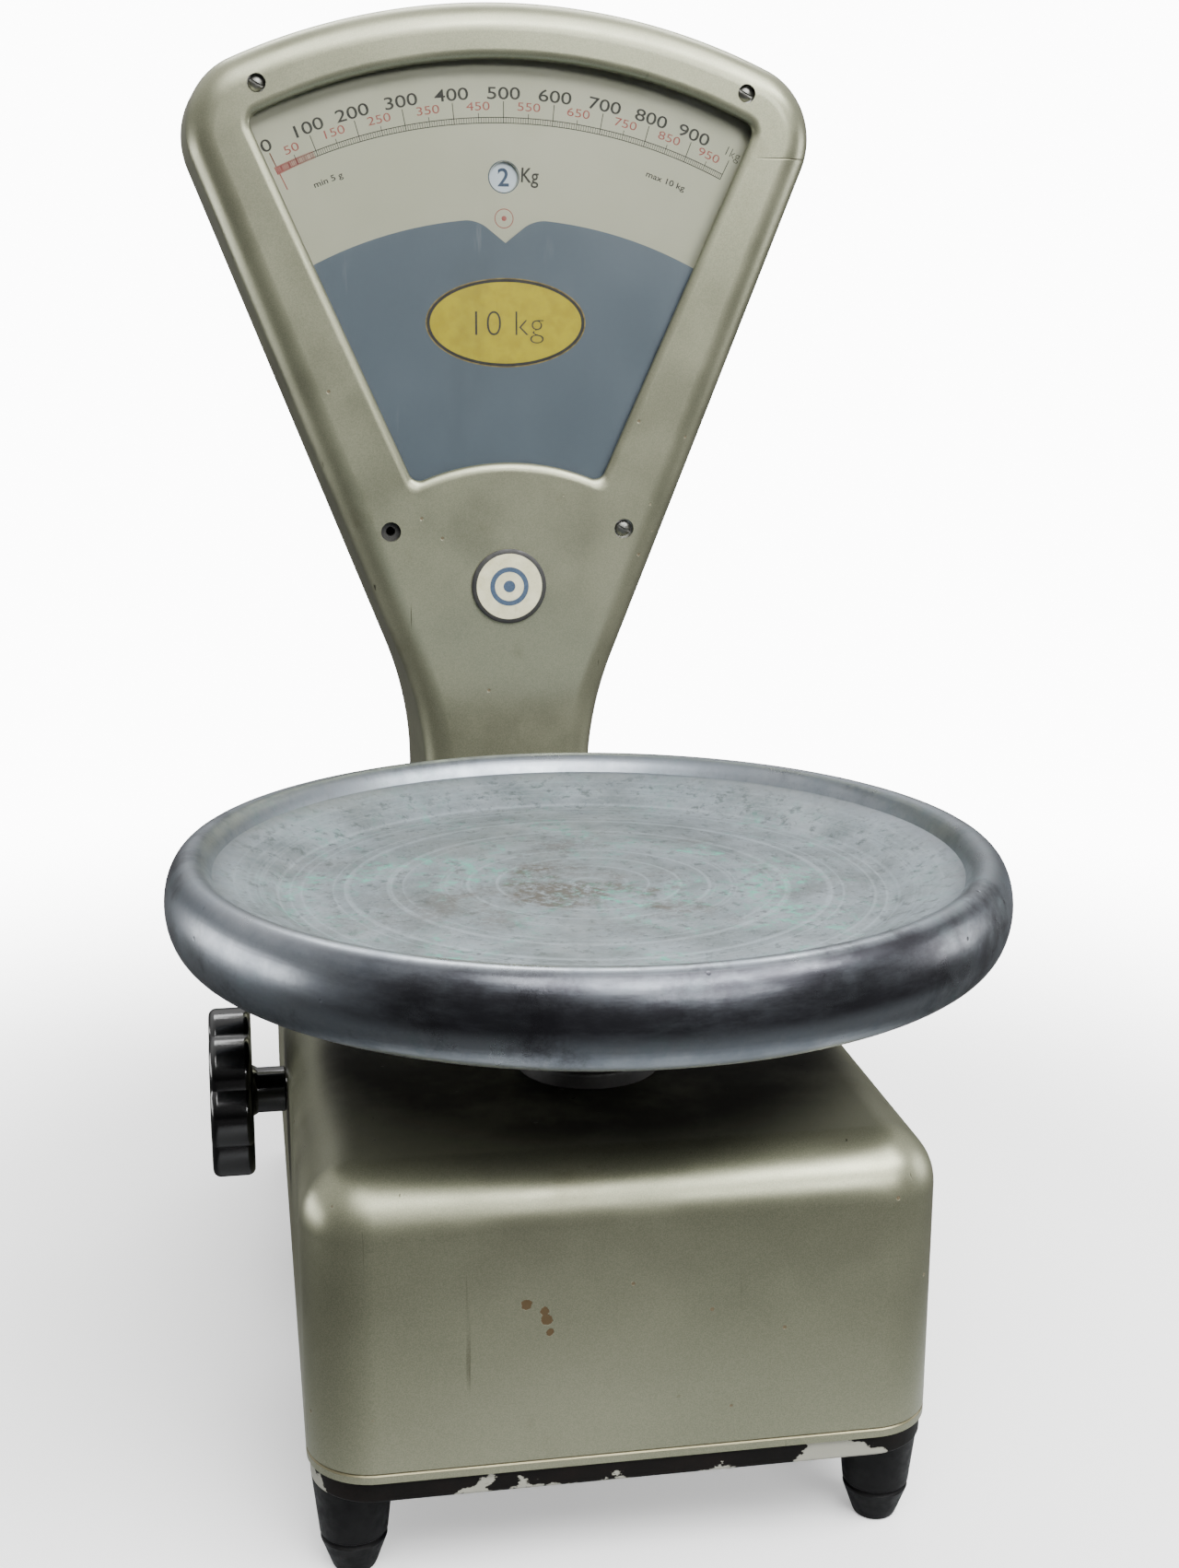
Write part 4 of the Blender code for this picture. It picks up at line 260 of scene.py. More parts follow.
@dataclass(frozen=True)
class SatinPaint(Finish):
    """Champagne metallic paint, with flakes, hairline scratches, specks, rust chips and a painted shadow on
    the top under the pan.
    """

    flake: Triple = shade(205, 203, 178)
    grime: Triple = shade(92, 86, 62)
    scratched: Triple = shade(48, 44, 28)
    rust: Triple = shade(66, 50, 22)
    # the tone of the painted shadow on the top under the pan
    soot: Triple = shade(16, 15, 10)
    chips: tuple[tuple[Triple, float], ...] = ()    # where rust chips are and how far they reach
    specks: float = 0.042
    seam: float = -1.0                              # the height of a dark hair seam
    roof: float = 9.0                               # the height of the top that gets the painted shadow under the pan
    # the middle of the painted shadow under the pan
    roof_middle: Triple = (0.0, -0.045, 0.0)

    def paint(self, graph: Graph) -> None:
        """Paints the flakes, the slow tint changes, the marks of wear and a painted shadow on the top under
        the pan.
        """
        colour = graph.mix(graph.clouds(9.0, 0.35, 0.65, detail=2.0), self.colour, self.second)
        colour = graph.stain(colour, self.flake, graph.clouds(2600.0, 0.35, 0.65, detail=1.0), 0.12)
        colour = graph.stain(colour, self.grime, graph.clouds(26.0, 0.60, 0.80, (0.0, 0.35), 6.0, 0.7))
        upright = graph.clouds(240.0, 0.70, 0.75, detail=2.0, rough=0.6,
                               vector=graph.mapped(stretch=(1.0, 1.0, 0.035)))
        across = graph.clouds(210.0, 0.715, 0.765, detail=2.0, rough=0.6,
                              vector=graph.mapped((0.3, 0.1, 0.7), (0.03, 0.03, 1.0)))
        scratch = graph.times(graph.combine("MAXIMUM", upright, across),
                              graph.clouds(14.0, 0.45, 0.6, detail=2.0))
        colour = graph.stain(colour, self.scratched, scratch, 0.85)
        speck = graph.times(graph.ramp(graph.cells(72.0), self.specks, self.specks * 1.6, 1.0, 0.0),
                            graph.clouds(13.0, 0.46, 0.54, detail=1.0))
        colour = graph.stain(colour, self.rust, speck, 0.85)
        off_seam = graph.combine("ABSOLUTE", graph.combine("SUBTRACT", graph.axis("Z"), self.seam))
        colour = graph.stain(colour, self.grime, graph.ramp(off_seam, 0.0003, 0.0007, 0.85, 0.0))
        # painted shadow: the top darkens in a round patch under the pan, where the pan's shade falls
        from_middle = graph.distance(graph.mapped(stretch=(1.0, 1.0, 0.0)), self.roof_middle)
        under_pan_shade = graph.times(graph.ramp(from_middle, 0.085, 0.128, 1.0, 0.0),
                            graph.ramp(graph.axis("Z"), self.roof - 0.005, self.roof - 0.0003),
                            graph.clouds(38.0, 0.3, 0.6, (0.82, 0.95), 5.0))
        colour = graph.stain(colour, self.soot, under_pan_shade)
        worn = speck
        ragged = graph.times(graph.noise(420.0, 4.0, 0.7), 0.9)
        for place, reach in self.chips:
            near = graph.ramp(graph.distance(graph.coordinates, place), 0.0, reach, 1.0, 0.0)
            chip = graph.times(graph.ramp(graph.combine("ADD", near, ragged), 0.93, 0.99),
                               graph.ramp(near, 0.0, 0.08))
            colour = graph.stain(colour, self.rust, chip)
            worn = graph.combine("MAXIMUM", worn, chip)
        rough = graph.clouds(34.0, 0.3, 0.7, (self.roughness - 0.03, self.roughness + 0.06), 4.0)
        rougher = graph.times(graph.combine("MAXIMUM", worn, under_pan_shade), 0.3)
        graph.shader({"Base Color": colour, "Roughness": graph.combine("ADD", rough, rougher),
                      "Metallic": graph.ramp(worn, 0.0, 1.0, self.metal, 0.0)})
        graph.bump(graph.noise(900.0, 2.0), 0.00003, 0.35)
        graph.bump(graph.noise(30.0, 2.0), 0.00025, 0.25)
        graph.bump(graph.combine("MAXIMUM", worn, scratch), -0.00012, 0.8)


@dataclass(frozen=True)
class TurnedAluminium(Finish):
    """Worn turned aluminium: round brushing, verdigris, brown stains, dark handling marks, painted shade on
    the underside and a dark rim band that is partly dirt and partly painted reflection.
    """

    centre: Triple = (0.0, 0.0, 0.0)
    well: float = 0.113
    crest: float = 0.141      # the rim's crest, from the axis
    tall: float = 0.016       # the crest, over the flat floor
    bright: Triple = shade(150, 152, 158)
    dull: Triple = shade(78, 87, 88)
    paler_dull: Triple = shade(112, 122, 126)
    pit: Triple = shade(62, 70, 70)
    turned: Triple = shade(150, 160, 166)
    green: Triple = shade(58, 132, 112)
    brown: Triple = shade(52, 43, 27)
    dark: Triple = shade(58, 56, 62)
    # the tone of the rim's dark band: dirt together with a painted dark reflection
    smoke: Triple = shade(48, 47, 52)
    shadow: Triple = shade(26, 25, 24)

    def paint(self, graph: Graph) -> None:
        """Paints the rings and stains round the pan's centre, the painted shade underneath and the rim's
        dark band of dirt and painted reflection.
        """
        x, y, z = self.centre
        local = graph.mapped((-x, -y, -z))
        rise = graph.axis("Z", local)
        radius = graph.distance(graph.mapped((-x, -y, 0.0), (1.0, 1.0, 0.0)), (0.0, 0.0, 0.0))
        outward = graph.node("ShaderNodeCombineXYZ", {"X": radius}).outputs[0]
        mottle = graph.noise(28.0, 7.0, 0.68, local)
        colour = graph.mix(graph.ramp(mottle, 0.32, 0.68), self.colour, self.second)
        brushed = graph.clouds(120.0, 0.4, 0.7, (0.0, 0.35), 3.0, 0.6, outward)
        colour = graph.stain(colour, self.bright, brushed)
        bowl = graph.ramp(radius, self.crest * 0.86, self.crest * 0.985, 1.0, 0.0)
        dull = graph.mix(graph.clouds(24.0, 0.38, 0.62, detail=8.0, rough=0.75, vector=local),
                         self.dull, self.paler_dull)
        colour = graph.stain(colour, dull, bowl, graph.clouds(40.0, 0.3, 0.7, (0.6, 0.95), 6.0, 0.7, local))
        pitted = graph.clouds(190.0, 0.50, 0.66, (0.0, 0.8), 5.0, 0.75, local)
        colour = graph.stain(colour, self.pit, bowl, pitted)
        turned = graph.clouds(260.0, 0.5, 0.7, (0.0, 0.4), 2.0, 0.6, outward)
        colour = graph.stain(colour, self.turned, bowl, turned)
        inside = graph.ramp(radius, self.well * 0.85, self.well * 1.08, 1.0, 0.12)
        green = graph.times(graph.clouds(22.0, 0.48, 0.62, detail=9.0, rough=0.72, vector=local),
                            graph.clouds(210.0, 0.47, 0.60, detail=5.0, rough=0.7, vector=local), inside)
        colour = graph.stain(colour, self.green, green, 0.8)
        brown = graph.times(graph.clouds(17.0, 0.49, 0.62, detail=8.0, rough=0.7,
                                         vector=graph.mapped((3.0, 1.0, 2.0))),
                            graph.clouds(260.0, 0.36, 0.54, detail=5.0, rough=0.75, vector=local),
                            graph.ramp(radius, self.well * 0.2, self.well * 0.85, 1.0, 0.25), inside)
        colour = graph.stain(colour, self.brown, brown, 0.85)
        handled = graph.clouds(16.0, 0.5, 0.66, detail=8.0, rough=0.75,
                               vector=graph.mapped((5.0, 2.0, 0.5)))
        rim = graph.ramp(radius, self.well * 1.12, self.well * 1.28)
        colour = graph.stain(colour, self.dark, handled, rim, 0.7)
        # dark band on the rim's outer side: partly dirt, partly a painted dark reflection
        colour = graph.stain(colour, self.smoke, self.smoky_side(graph, local, rise, radius), 0.93)
        colour = graph.stain(colour, self.shadow, graph.ramp(rise, -0.0026, -0.0012, 1.0, 0.0),
                             graph.ramp(radius, self.crest * 0.9, self.crest * 0.96, 1.0, 0.0), 0.92)
        nick = graph.times(graph.ramp(graph.cells(95.0, local), 0.05, 0.09, 1.0, 0.0),
                           graph.clouds(13.0, 0.5, 0.56, detail=2.0, rough=0.5, vector=local))
        colour = graph.stain(colour, self.dark, nick, 0.7)
        stains = graph.combine("MAXIMUM", green, brown)
        rough = graph.ramp(mottle, 0.3, 0.7, self.roughness - 0.06, self.roughness + 0.10)
        for share in (bowl, stains):
            rough = graph.combine("ADD", rough, graph.times(share, 0.25))
        graph.shader({"Base Color": colour, "Roughness": rough,
                      "Metallic": graph.times(graph.ramp(stains, 0.1, 0.9, self.metal, 0.15),
                                              graph.ramp(bowl, 0.0, 1.0, 1.0, 0.5))})
        graph.bump(graph.noise(1400.0, 2.0, 0.6, outward), 0.00006, 0.5)
        graph.bump(mottle, 0.0006, 0.25)
        graph.bump(nick, -0.0002, 0.6)

    def smoky_side(self, graph: Graph, local: Any, rise: Any, radius: Any) -> Any:
        """Returns the share of the dark band on the rim's outer side, partly dirt and partly a painted dark
        reflection, fading towards both sides.

        Args:
            graph: The material's graph.
            local: The coordinates from the pan's centre.
            rise: The height over it.
            radius: The distance from its axis.

        Returns:
            The share's socket.
        """
        across = graph.axis("X", local)
        drift = graph.mapped((0.4, 0.9, 0.2), (1.0, 1.0, 3.5))
        return graph.times(graph.ramp(rise, self.tall * 0.88, self.tall, 1.0, 0.0),
                           graph.ramp(rise, -self.tall * 0.45, -self.tall * 0.05),
                           graph.ramp(radius, self.crest * 0.985, self.crest * 1.01),
                           graph.ramp(across, -0.128, -0.072, 0.3, 1.0),
                           graph.ramp(across, 0.085, 0.135, 1.0, 0.2),
                           graph.clouds(30.0, 0.3, 0.62, (0.72, 1.0), 6.0, 0.68, drift))


@dataclass(frozen=True)
class ChippedBlack(Finish):
    """Black paint on a casting, chipped to bare grey along its upper edge."""

    bare: Triple = shade(158, 157, 145)
    top: float = 0.043
    worn_depth: float = 0.0085

    def paint(self, graph: Graph) -> None:
        """Paints black with long ragged chips that start at the top edge."""
        rise = graph.ramp(graph.axis("Z"), self.top - self.worn_depth, self.top, 0.05, -0.04)
        ragged = graph.noise(24.0, 6.0, 0.62, graph.mapped(stretch=(1.0, 1.0, 1.7)))
        chip = graph.ramp(graph.combine("ADD", ragged, rise), 0.555, 0.57)
        colour = graph.mix(graph.clouds(60.0, 0.35, 0.65, detail=4.0), self.colour, self.second)
        graph.shader({"Base Color": graph.stain(colour, self.bare, chip),
                      "Roughness": graph.ramp(chip, 0.0, 1.0, self.roughness, 0.5),
                      "Metallic": graph.ramp(chip, 0.0, 1.0, 0.0, 0.5)})
        graph.bump(graph.noise(520.0, 3.0), 0.0001, 0.5)
        graph.bump(chip, -0.00025, 0.8)


@dataclass(frozen=True)
class ClearGlass(Finish):
    """Old window glass: clear from the front, glossy at a slant, with faint smears."""

    refraction: float = 1.45

    def paint(self, graph: Graph) -> None:
        """Paints the glass as a thin film that the slant and the smears thicken."""
        slant = graph.node("ShaderNodeFresnel", {"IOR": self.refraction}).outputs[0]
        smear = graph.noise(30.0, 5.0, 0.6, graph.mapped(stretch=(1.0, 1.0, 0.35)))
        film = graph.ramp(smear, 0.55, 0.8, 0.0, 0.04)
        graph.shader({"Alpha": graph.combine("ADD", graph.times(slant, 0.8), film),
                      "Base Color": graph.mix(smear, self.colour, self.second),
                      "Roughness": graph.ramp(smear, 0.4, 0.8, 0.05, 0.3)})


@dataclass(frozen=True)
class SlatePaint(Finish):
    """Slate blue paint on the back of a panel, with pale rubbed streaks."""

    rubbed: Triple = shade(168, 176, 186)

    def paint(self, graph: Graph) -> None:
        """Paints the panel's slow tint change and the long rubbed streaks."""
        colour = graph.mix(graph.clouds(12.0, 0.3, 0.7, detail=2.0), self.colour, self.second)
        streak = graph.noise(85.0, 5.0, 0.65, graph.mapped(stretch=(1.0, 1.0, 0.12)))
        colour = graph.stain(colour, self.rubbed, graph.ramp(streak, 0.58, 0.72),
                             graph.clouds(15.0, 0.45, 0.62, detail=2.0), 0.28)
        graph.shader({"Base Color": colour, "Roughness": graph.ramp(streak, 0.3, 0.7, 0.4, 0.55)})
        graph.bump(graph.noise(700.0, 2.0), 0.00003, 0.3)


@dataclass(frozen=True)
class PaleFloor(Finish):
    """A pale floor that glows like the background far from the scale and mirrors as a dim one, with a
    painted pool of light near the scale.
    """

    near_middle: Triple = (0.02, -0.12, 0.0)
    # the painted pool of light that reflections see on the floor near the scale
    near_mirrored: Triple = shade(162, 164, 166)

    def paint(self, graph: Graph) -> None:
        """Paints the floor by its distance from the scale."""
        path = graph.node("ShaderNodeLightPath", {}).outputs["Is Camera Ray"]
        far = graph.ramp(graph.distance(graph.coordinates, (0.0, 0.0, 0.0)), 0.30, 0.95, 0.03, 1.0)
        # painted pool of light: reflections see the floor bright near the scale and dim further away
        near = graph.ramp(graph.distance(graph.coordinates, self.near_middle), 0.13, 0.27)
        mirrored_floor = graph.mix(near, self.near_mirrored, self.second)
        seen_floor = graph.mix(far, self.colour, (0.0, 0.0, 0.0))
        graph.shader({"Base Color": graph.mix(path, mirrored_floor, seen_floor),
                      "Roughness": graph.clouds(4.0, 0.3, 0.7, (0.85, 0.95)),
                      "Emission Color": (1.0, 1.0, 1.0, 1.0),
                      "Emission Strength": graph.times(far, path, BACKDROP)})


GOLD = SatinPaint("champagne_paint", shade(130, 131, 110), shade(122, 124, 103), 0.36, 0.8, 0.1)
BLACK_EDGE = ChippedBlack("chipped_black_paint", shade(15, 11, 9), shade(8, 7, 6), 0.6, gloss=0.12)
ALUMINIUM = TurnedAluminium("turned_aluminium", shade(146, 152, 158), shade(118, 126, 134), 0.3, 0.92)
RUBBER = Finish("scuffed_rubber", shade(4, 4, 5), shade(12, 12, 12), 0.5, 0.0, 0.0, 90.0, 0.15)
RESIN = Finish("polished_black_resin", shade(3, 3, 4), shade(6, 6, 7), 0.16, 0.0, 0.3, 40.0)
STEEL = Finish("turned_steel", shade(188, 188, 186), shade(150, 150, 150), 0.3, 1.0, 0.0, 120.0)
IRON = Finish("rough_casting", shade(88, 88, 84), shade(64, 62, 58), 0.6, 0.5, 0.0, 80.0)
BRASS = Finish("plain_brass", shade(196, 168, 104), shade(164, 136, 84), 0.3, 1.0, 0.0, 90.0)
GLASS = ClearGlass("window_glass_clear", shade(60, 64, 64), shade(96, 100, 100), 0.06)
SLATE = SlatePaint("slate_blue_paint", shade(90, 103, 112), shade(79, 92, 101), 0.45)
CARD = Finish("chart_enamel", shade(184, 185, 160), shade(176, 178, 152), 0.5, 0.0, 0.0, 14.0)
DISC_CARD = Finish("number_disc_enamel", shade(206, 218, 224), shade(190, 204, 212), 0.5, 0.0, 0.0, 60.0)
SCREW_STEEL = Finish("dull_screw_steel", shade(124, 124, 118), shade(92, 92, 88), 0.38, 1.0, 0.0, 260.0)
DARK_PAINT = Finish("matt_black_paint", shade(26, 26, 26), shade(38, 37, 35), 0.55, 0.0, 0.0, 120.0)
CREAM = Finish("cream_enamel", shade(206, 203, 172), shade(190, 186, 152), 0.3, 0.0, 0.4, 160.0)
DARK_INK = Finish("dark_print", shade(38, 37, 32), shade(56, 54, 47), 0.6, 0.0, 0.0, 900.0)
RED_INK = Finish("red_print", shade(160, 92, 82), shade(142, 70, 62), 0.6, 0.0, 0.0, 900.0)
BLUE_INK = Finish("blue_print", shade(44, 62, 84), shade(56, 74, 96), 0.55, 0.0, 0.0, 700.0)
YELLOW = Finish("yellow_print", shade(188, 174, 12), shade(174, 158, 8), 0.5, 0.0, 0.0, 220.0)
GOLD_LINE = Finish("gold_line", shade(150, 132, 74), shade(110, 96, 56), 0.4, 0.6, 0.0, 500.0)
FLOOR = PaleFloor("pale_floor", shade(240, 240, 240), shade(24, 24, 25), 0.9)

NODE_FINISHES = {
    Slot.GOLD_PAINT: GOLD, Slot.BLACK_IRON: BLACK_EDGE, Slot.RUBBER: RUBBER, Slot.CAST_ALUMINIUM: ALUMINIUM,
    Slot.STEEL: STEEL, Slot.IRON: IRON, Slot.BRASS: BRASS, Slot.BAKELITE: RESIN, Slot.GLASS: GLASS,
    Slot.MASK_PAINT: SLATE, Slot.CHART_CARD: CARD, Slot.BADGE_ENAMEL: CREAM, Slot.BLACK_PAINT: DARK_PAINT,
}


@lru_cache(maxsize=None)
def dressed(finish: Finish) -> bpy.types.Material:
    """Returns a finish's material, which is made once."""
    return finish.material()


class Pen:
    """Draws a chain of edges with extruded vertices for lines and spun ones for arcs.

    The chain lies in a plane, upright and facing the front for a plane of "XZ", and
    lying flat for "XY".  A turn is counter-clockwise as seen from the front or from above.
    """

    def __init__(self, mesh: Mesh, start: Triple, plane: str = "XZ") -> None:
        """Puts the first vertex down."""
        self.mesh = mesh
        self.tip = mesh.verts.new(start)
        self.axis = Vector((0, -1, 0)) if plane == "XZ" else Vector((0, 0, 1))

    def line(self, *points: Triple) -> None:
        """Draws straight edges through points."""
        for point in points:
            self.tip = bmesh.ops.extrude_vert_indiv(self.mesh, verts=[self.tip])["verts"][0]
            self.tip.co = Vector(point)

    def arc(self, centre: Triple, turn: float, steps: int) -> None:
        """Turns the tip about a centre and leaves an arc of edges."""
        spun = bmesh.ops.spin(self.mesh, geom=[self.tip], cent=centre, axis=self.axis, dvec=(0, 0, 0),
                              angle=turn, steps=steps, use_merge=False, use_duplicate=False)
        self.tip = verts_of(spun["geom_last"])[0]


def verts_of(geometry: Iterable[Any]) -> list[Any]:
    """Lists the vertices among the parts of a mesh."""
    return [part for part in geometry if isinstance(part, bmesh.types.BMVert)]


def everything(mesh: Mesh) -> list[Any]:
    """Lists all of a mesh's vertices, edges and faces."""
    return mesh.verts[:] + mesh.edges[:] + mesh.faces[:]


def in_plane(parts: Iterable[Any], axis: str, place: float) -> list[Any]:
    """Picks the edges or faces that lie in a plane across an axis."""
    column = "XYZ".index(axis)
    return [part for part in parts if all(abs(vert.co[column] - place) < MERGE for vert in part.verts)]


def weld(mesh: Mesh) -> None:
    """Merges doubled vertices and turns all faces outwards."""
    bmesh.ops.remove_doubles(mesh, verts=mesh.verts[:], dist=MERGE)
    bmesh.ops.recalc_face_normals(mesh, faces=mesh.faces[:])


def mirrored(mesh: Mesh) -> None:
    """Adds the left half to a chain that draws the right half."""
    bmesh.ops.mirror(mesh, geom=everything(mesh), matrix=Matrix.Identity(4), merge_dist=MERGE, axis="X")
    bmesh.ops.remove_doubles(mesh, verts=mesh.verts[:], dist=MERGE)


def stacked(mesh: Mesh, depths: list[float]) -> None:
    """Mirrors half outlines that lie at depths along Y and joins them to a closed body.

    Args:
        mesh: The right halves of the outlines, each a chain of as many edges.
        depths: Where they lie, in order.
    """
    mirrored(mesh)
    loops = [in_plane(mesh.edges, "Y", depth) for depth in depths]
    for first, second in zip(loops, loops[1:]):
        bmesh.ops.bridge_loops(mesh, edges=first + second)
    for end in (loops[0], loops[-1]):
        bmesh.ops.edgeloop_fill(mesh, edges=end)
    weld(mesh)


def raise_faces(mesh: Mesh, faces: Iterable[Any], shift: Triple) -> None:
    """Extrudes faces by a shift."""
    grown = bmesh.ops.extrude_face_region(mesh, geom=list(faces))
    bmesh.ops.translate(mesh, verts=verts_of(grown["geom"]), vec=shift)


def fill(mesh: Mesh) -> None:
    """Fills a mesh's open chain loops with faces."""
    bmesh.ops.edgeloop_fill(mesh, edges=mesh.edges[:])


def plated(mesh: Mesh, thickness: float) -> Mesh:
    """Turns the right half of an outline into a plate that reaches to the back."""
    mirrored(mesh)
    fill(mesh)
    raise_faces(mesh, mesh.faces[:], (0, thickness, 0))
    weld(mesh)
    return mesh


def rounded(mesh: Mesh, parts: Iterable[Any], radius: float, steps: int, kind: str = "EDGES") -> None:
    """Bevels edges, or the corners of a flat face or chain, with a circular profile."""
    bmesh.ops.bevel(mesh, geom=list(parts), offset=radius, offset_type="OFFSET", segments=steps,
                    profile=0.5, affect=kind, material=-1, clamp_overlap=True)


def turned(axis: str, middle: Vector, section: Iterable[Pair], steps: int) -> Mesh:
    """Spins a section a full turn round an axis.

    Args:
        axis: X, Y or Z.
        middle: A point on the axis.
        section: Its points, each a radius and a place along the axis.
        steps: How many sides the turn has.

    Returns:
        The closed mesh.
    """
    def point(radius: float, along: float) -> Triple:
        """Places a point of the section in the frame."""
        return {"X": (along, middle.y + radius, middle.z), "Y": (middle.x + radius, along, middle.z),
                "Z": (middle.x + radius, middle.y, along)}[axis]

    mesh = bmesh.new()
    start, *others = (point(*pair) for pair in section)
    Pen(mesh, start).line(*others)
    bmesh.ops.spin(mesh, geom=everything(mesh), cent=middle, axis=[float(name == axis) for name in "XYZ"],
                   dvec=(0, 0, 0), angle=FULL_TURN, steps=steps, use_merge=True, use_duplicate=False)
    weld(mesh)
    return mesh


def evaluated(item: bpy.types.Object) -> Mesh:
    """Takes an object's evaluated mesh as a bmesh and removes the object."""
    bpy.context.view_layer.update()
    mesh = bmesh.new()
    mesh.from_object(item, bpy.context.evaluated_depsgraph_get())
    bpy.data.objects.remove(item)
    return mesh


def loose_object(name: str, mesh: Mesh) -> bpy.types.Object:
    """Links a bmesh as an object at the origin."""
    data = bpy.data.meshes.new(name)
    mesh.to_mesh(data)
    mesh.free()
    item = bpy.data.objects.new(name, data)
    bpy.context.scene.collection.objects.link(item)
    return item


def add_mesh(target: Mesh, extra: Mesh) -> None:
    """Copies one bmesh into another and frees it."""
    data = bpy.data.meshes.new("part")
    extra.to_mesh(data)
    extra.free()
    target.from_mesh(data)
    bpy.data.meshes.remove(data)


def shell(mesh: Mesh, wall: float) -> Mesh:
    """Gives an open skin, with its faces turned outwards, a wall on its inner side."""
    item = loose_object("skin", mesh)
    solid = item.modifiers.new("wall", "SOLIDIFY")
    solid.thickness = wall
    solid.offset = -1
    solid.use_even_offset = True
    return evaluated(item)


def carve(mesh: Mesh, cutters: Iterable[Mesh]) -> Mesh:
    """Cuts closed shapes out of a closed mesh and returns what is left."""
    item = loose_object("carved", mesh)
    tools = [loose_object("cutter", cutter) for cutter in cutters]
    for tool in tools:
        cut = item.modifiers.new("cut", "BOOLEAN")
        cut.operation = "DIFFERENCE"
        cut.solver = "EXACT"
        cut.object = tool
    left = evaluated(item)
    for tool in tools:
        bpy.data.objects.remove(tool)
    return left


def drum(radius: float, start: float, end: float, axis: str, centre: Pair) -> Mesh:
    """Makes a closed round bar along an axis.

    Args:
        radius: The bar's radius.
        start: Where it starts along the axis.
        end: Where it ends.
        axis: X, Y or Z.
        centre: Its two other coordinates, in their order in the frame.

    Returns:
        The bar's mesh.
    """
    mesh = bmesh.new()
    place = list(centre)
    place.insert("XYZ".index(axis), (start + end) / 2)
    turn = {"X": Matrix.Rotation(QUARTER, 4, "Y"), "Y": Matrix.Rotation(QUARTER, 4, "X"),
            "Z": Matrix.Identity(4)}[axis]
    bmesh.ops.create_cone(mesh, cap_ends=True, segments=48, radius1=radius, radius2=radius,
                          depth=end - start, matrix=Matrix.Translation(place) @ turn)
    return mesh


def block(centre: Triple, size: Triple, turn: float = 0.0) -> Mesh:
    """Makes a box by its centre and its size, turned about Y."""
    mesh = bmesh.new()
    bmesh.ops.create_cube(mesh, size=1, matrix=Matrix.Translation(centre) @ Matrix.Rotation(turn, 4, "Y")
                          @ Matrix.Diagonal((*size, 1)))
    return mesh


def make_piece(name: str, mesh: Mesh, finishes: Iterable[Finish], replaced: Iterable[str] = (),
               body: Body = Body.FRAME) -> None:
    """Turns a bmesh into a finished piece on its body.

    Args:
        name: The piece's name.
        mesh: Its mesh, in place.
        finishes: The finishes of its material slots.
        replaced: The CAD nodes that it stands for.
        body: The body that it rides on.
    """
    piece = loose_object(name, mesh)
    for finish in finishes:
        piece.data.materials.append(dressed(finish))
    piece.data.shade_smooth()
    piece.data.set_sharp_from_angle(angle=SMOOTH)
    even = piece.modifiers.new("even_normals", "WEIGHTED_NORMAL")
    even.keep_sharp = True
    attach(piece, body.value)
    if replaced:
        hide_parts(*replaced)
    LOG.info("%s: %d faces on %s", name, len(piece.data.polygons), body.value)


def meeting(start: Vector, direction: Vector, centre: Vector, reach: float) -> Vector:
    """Returns where a line runs out of a circle.

    Args:
        start: A point on the line.
        direction: The line's direction, of length one.
        centre: The circle's centre.
        reach: The circle's radius.

    Returns:
        The last point of the line on the circle.
    """
    away = start - centre
    lean = away.dot(direction)
    return start + direction * (math.sqrt(lean ** 2 - away.length_squared + reach ** 2) - lean)


def leaning(angle: float) -> tuple[Vector, Vector]:
    """Returns the direction of a side that leans to the right and the one that leads out of it."""
    slope = Vector((math.sin(angle), 0, math.cos(angle)))
    return slope, Vector((slope.z, 0, -slope.x))


def quarter_round(width: float, depth: float, start: float, steps: int) -> list[Pair]:
    """Lists how far each outline of a rounded edge is drawn in, and its place along Y."""
    angles = [QUARTER * step / steps for step in range(steps + 1)]
    return [(width * (1 - math.sin(angle)), start + depth * (1 - math.cos(angle))) for angle in angles]


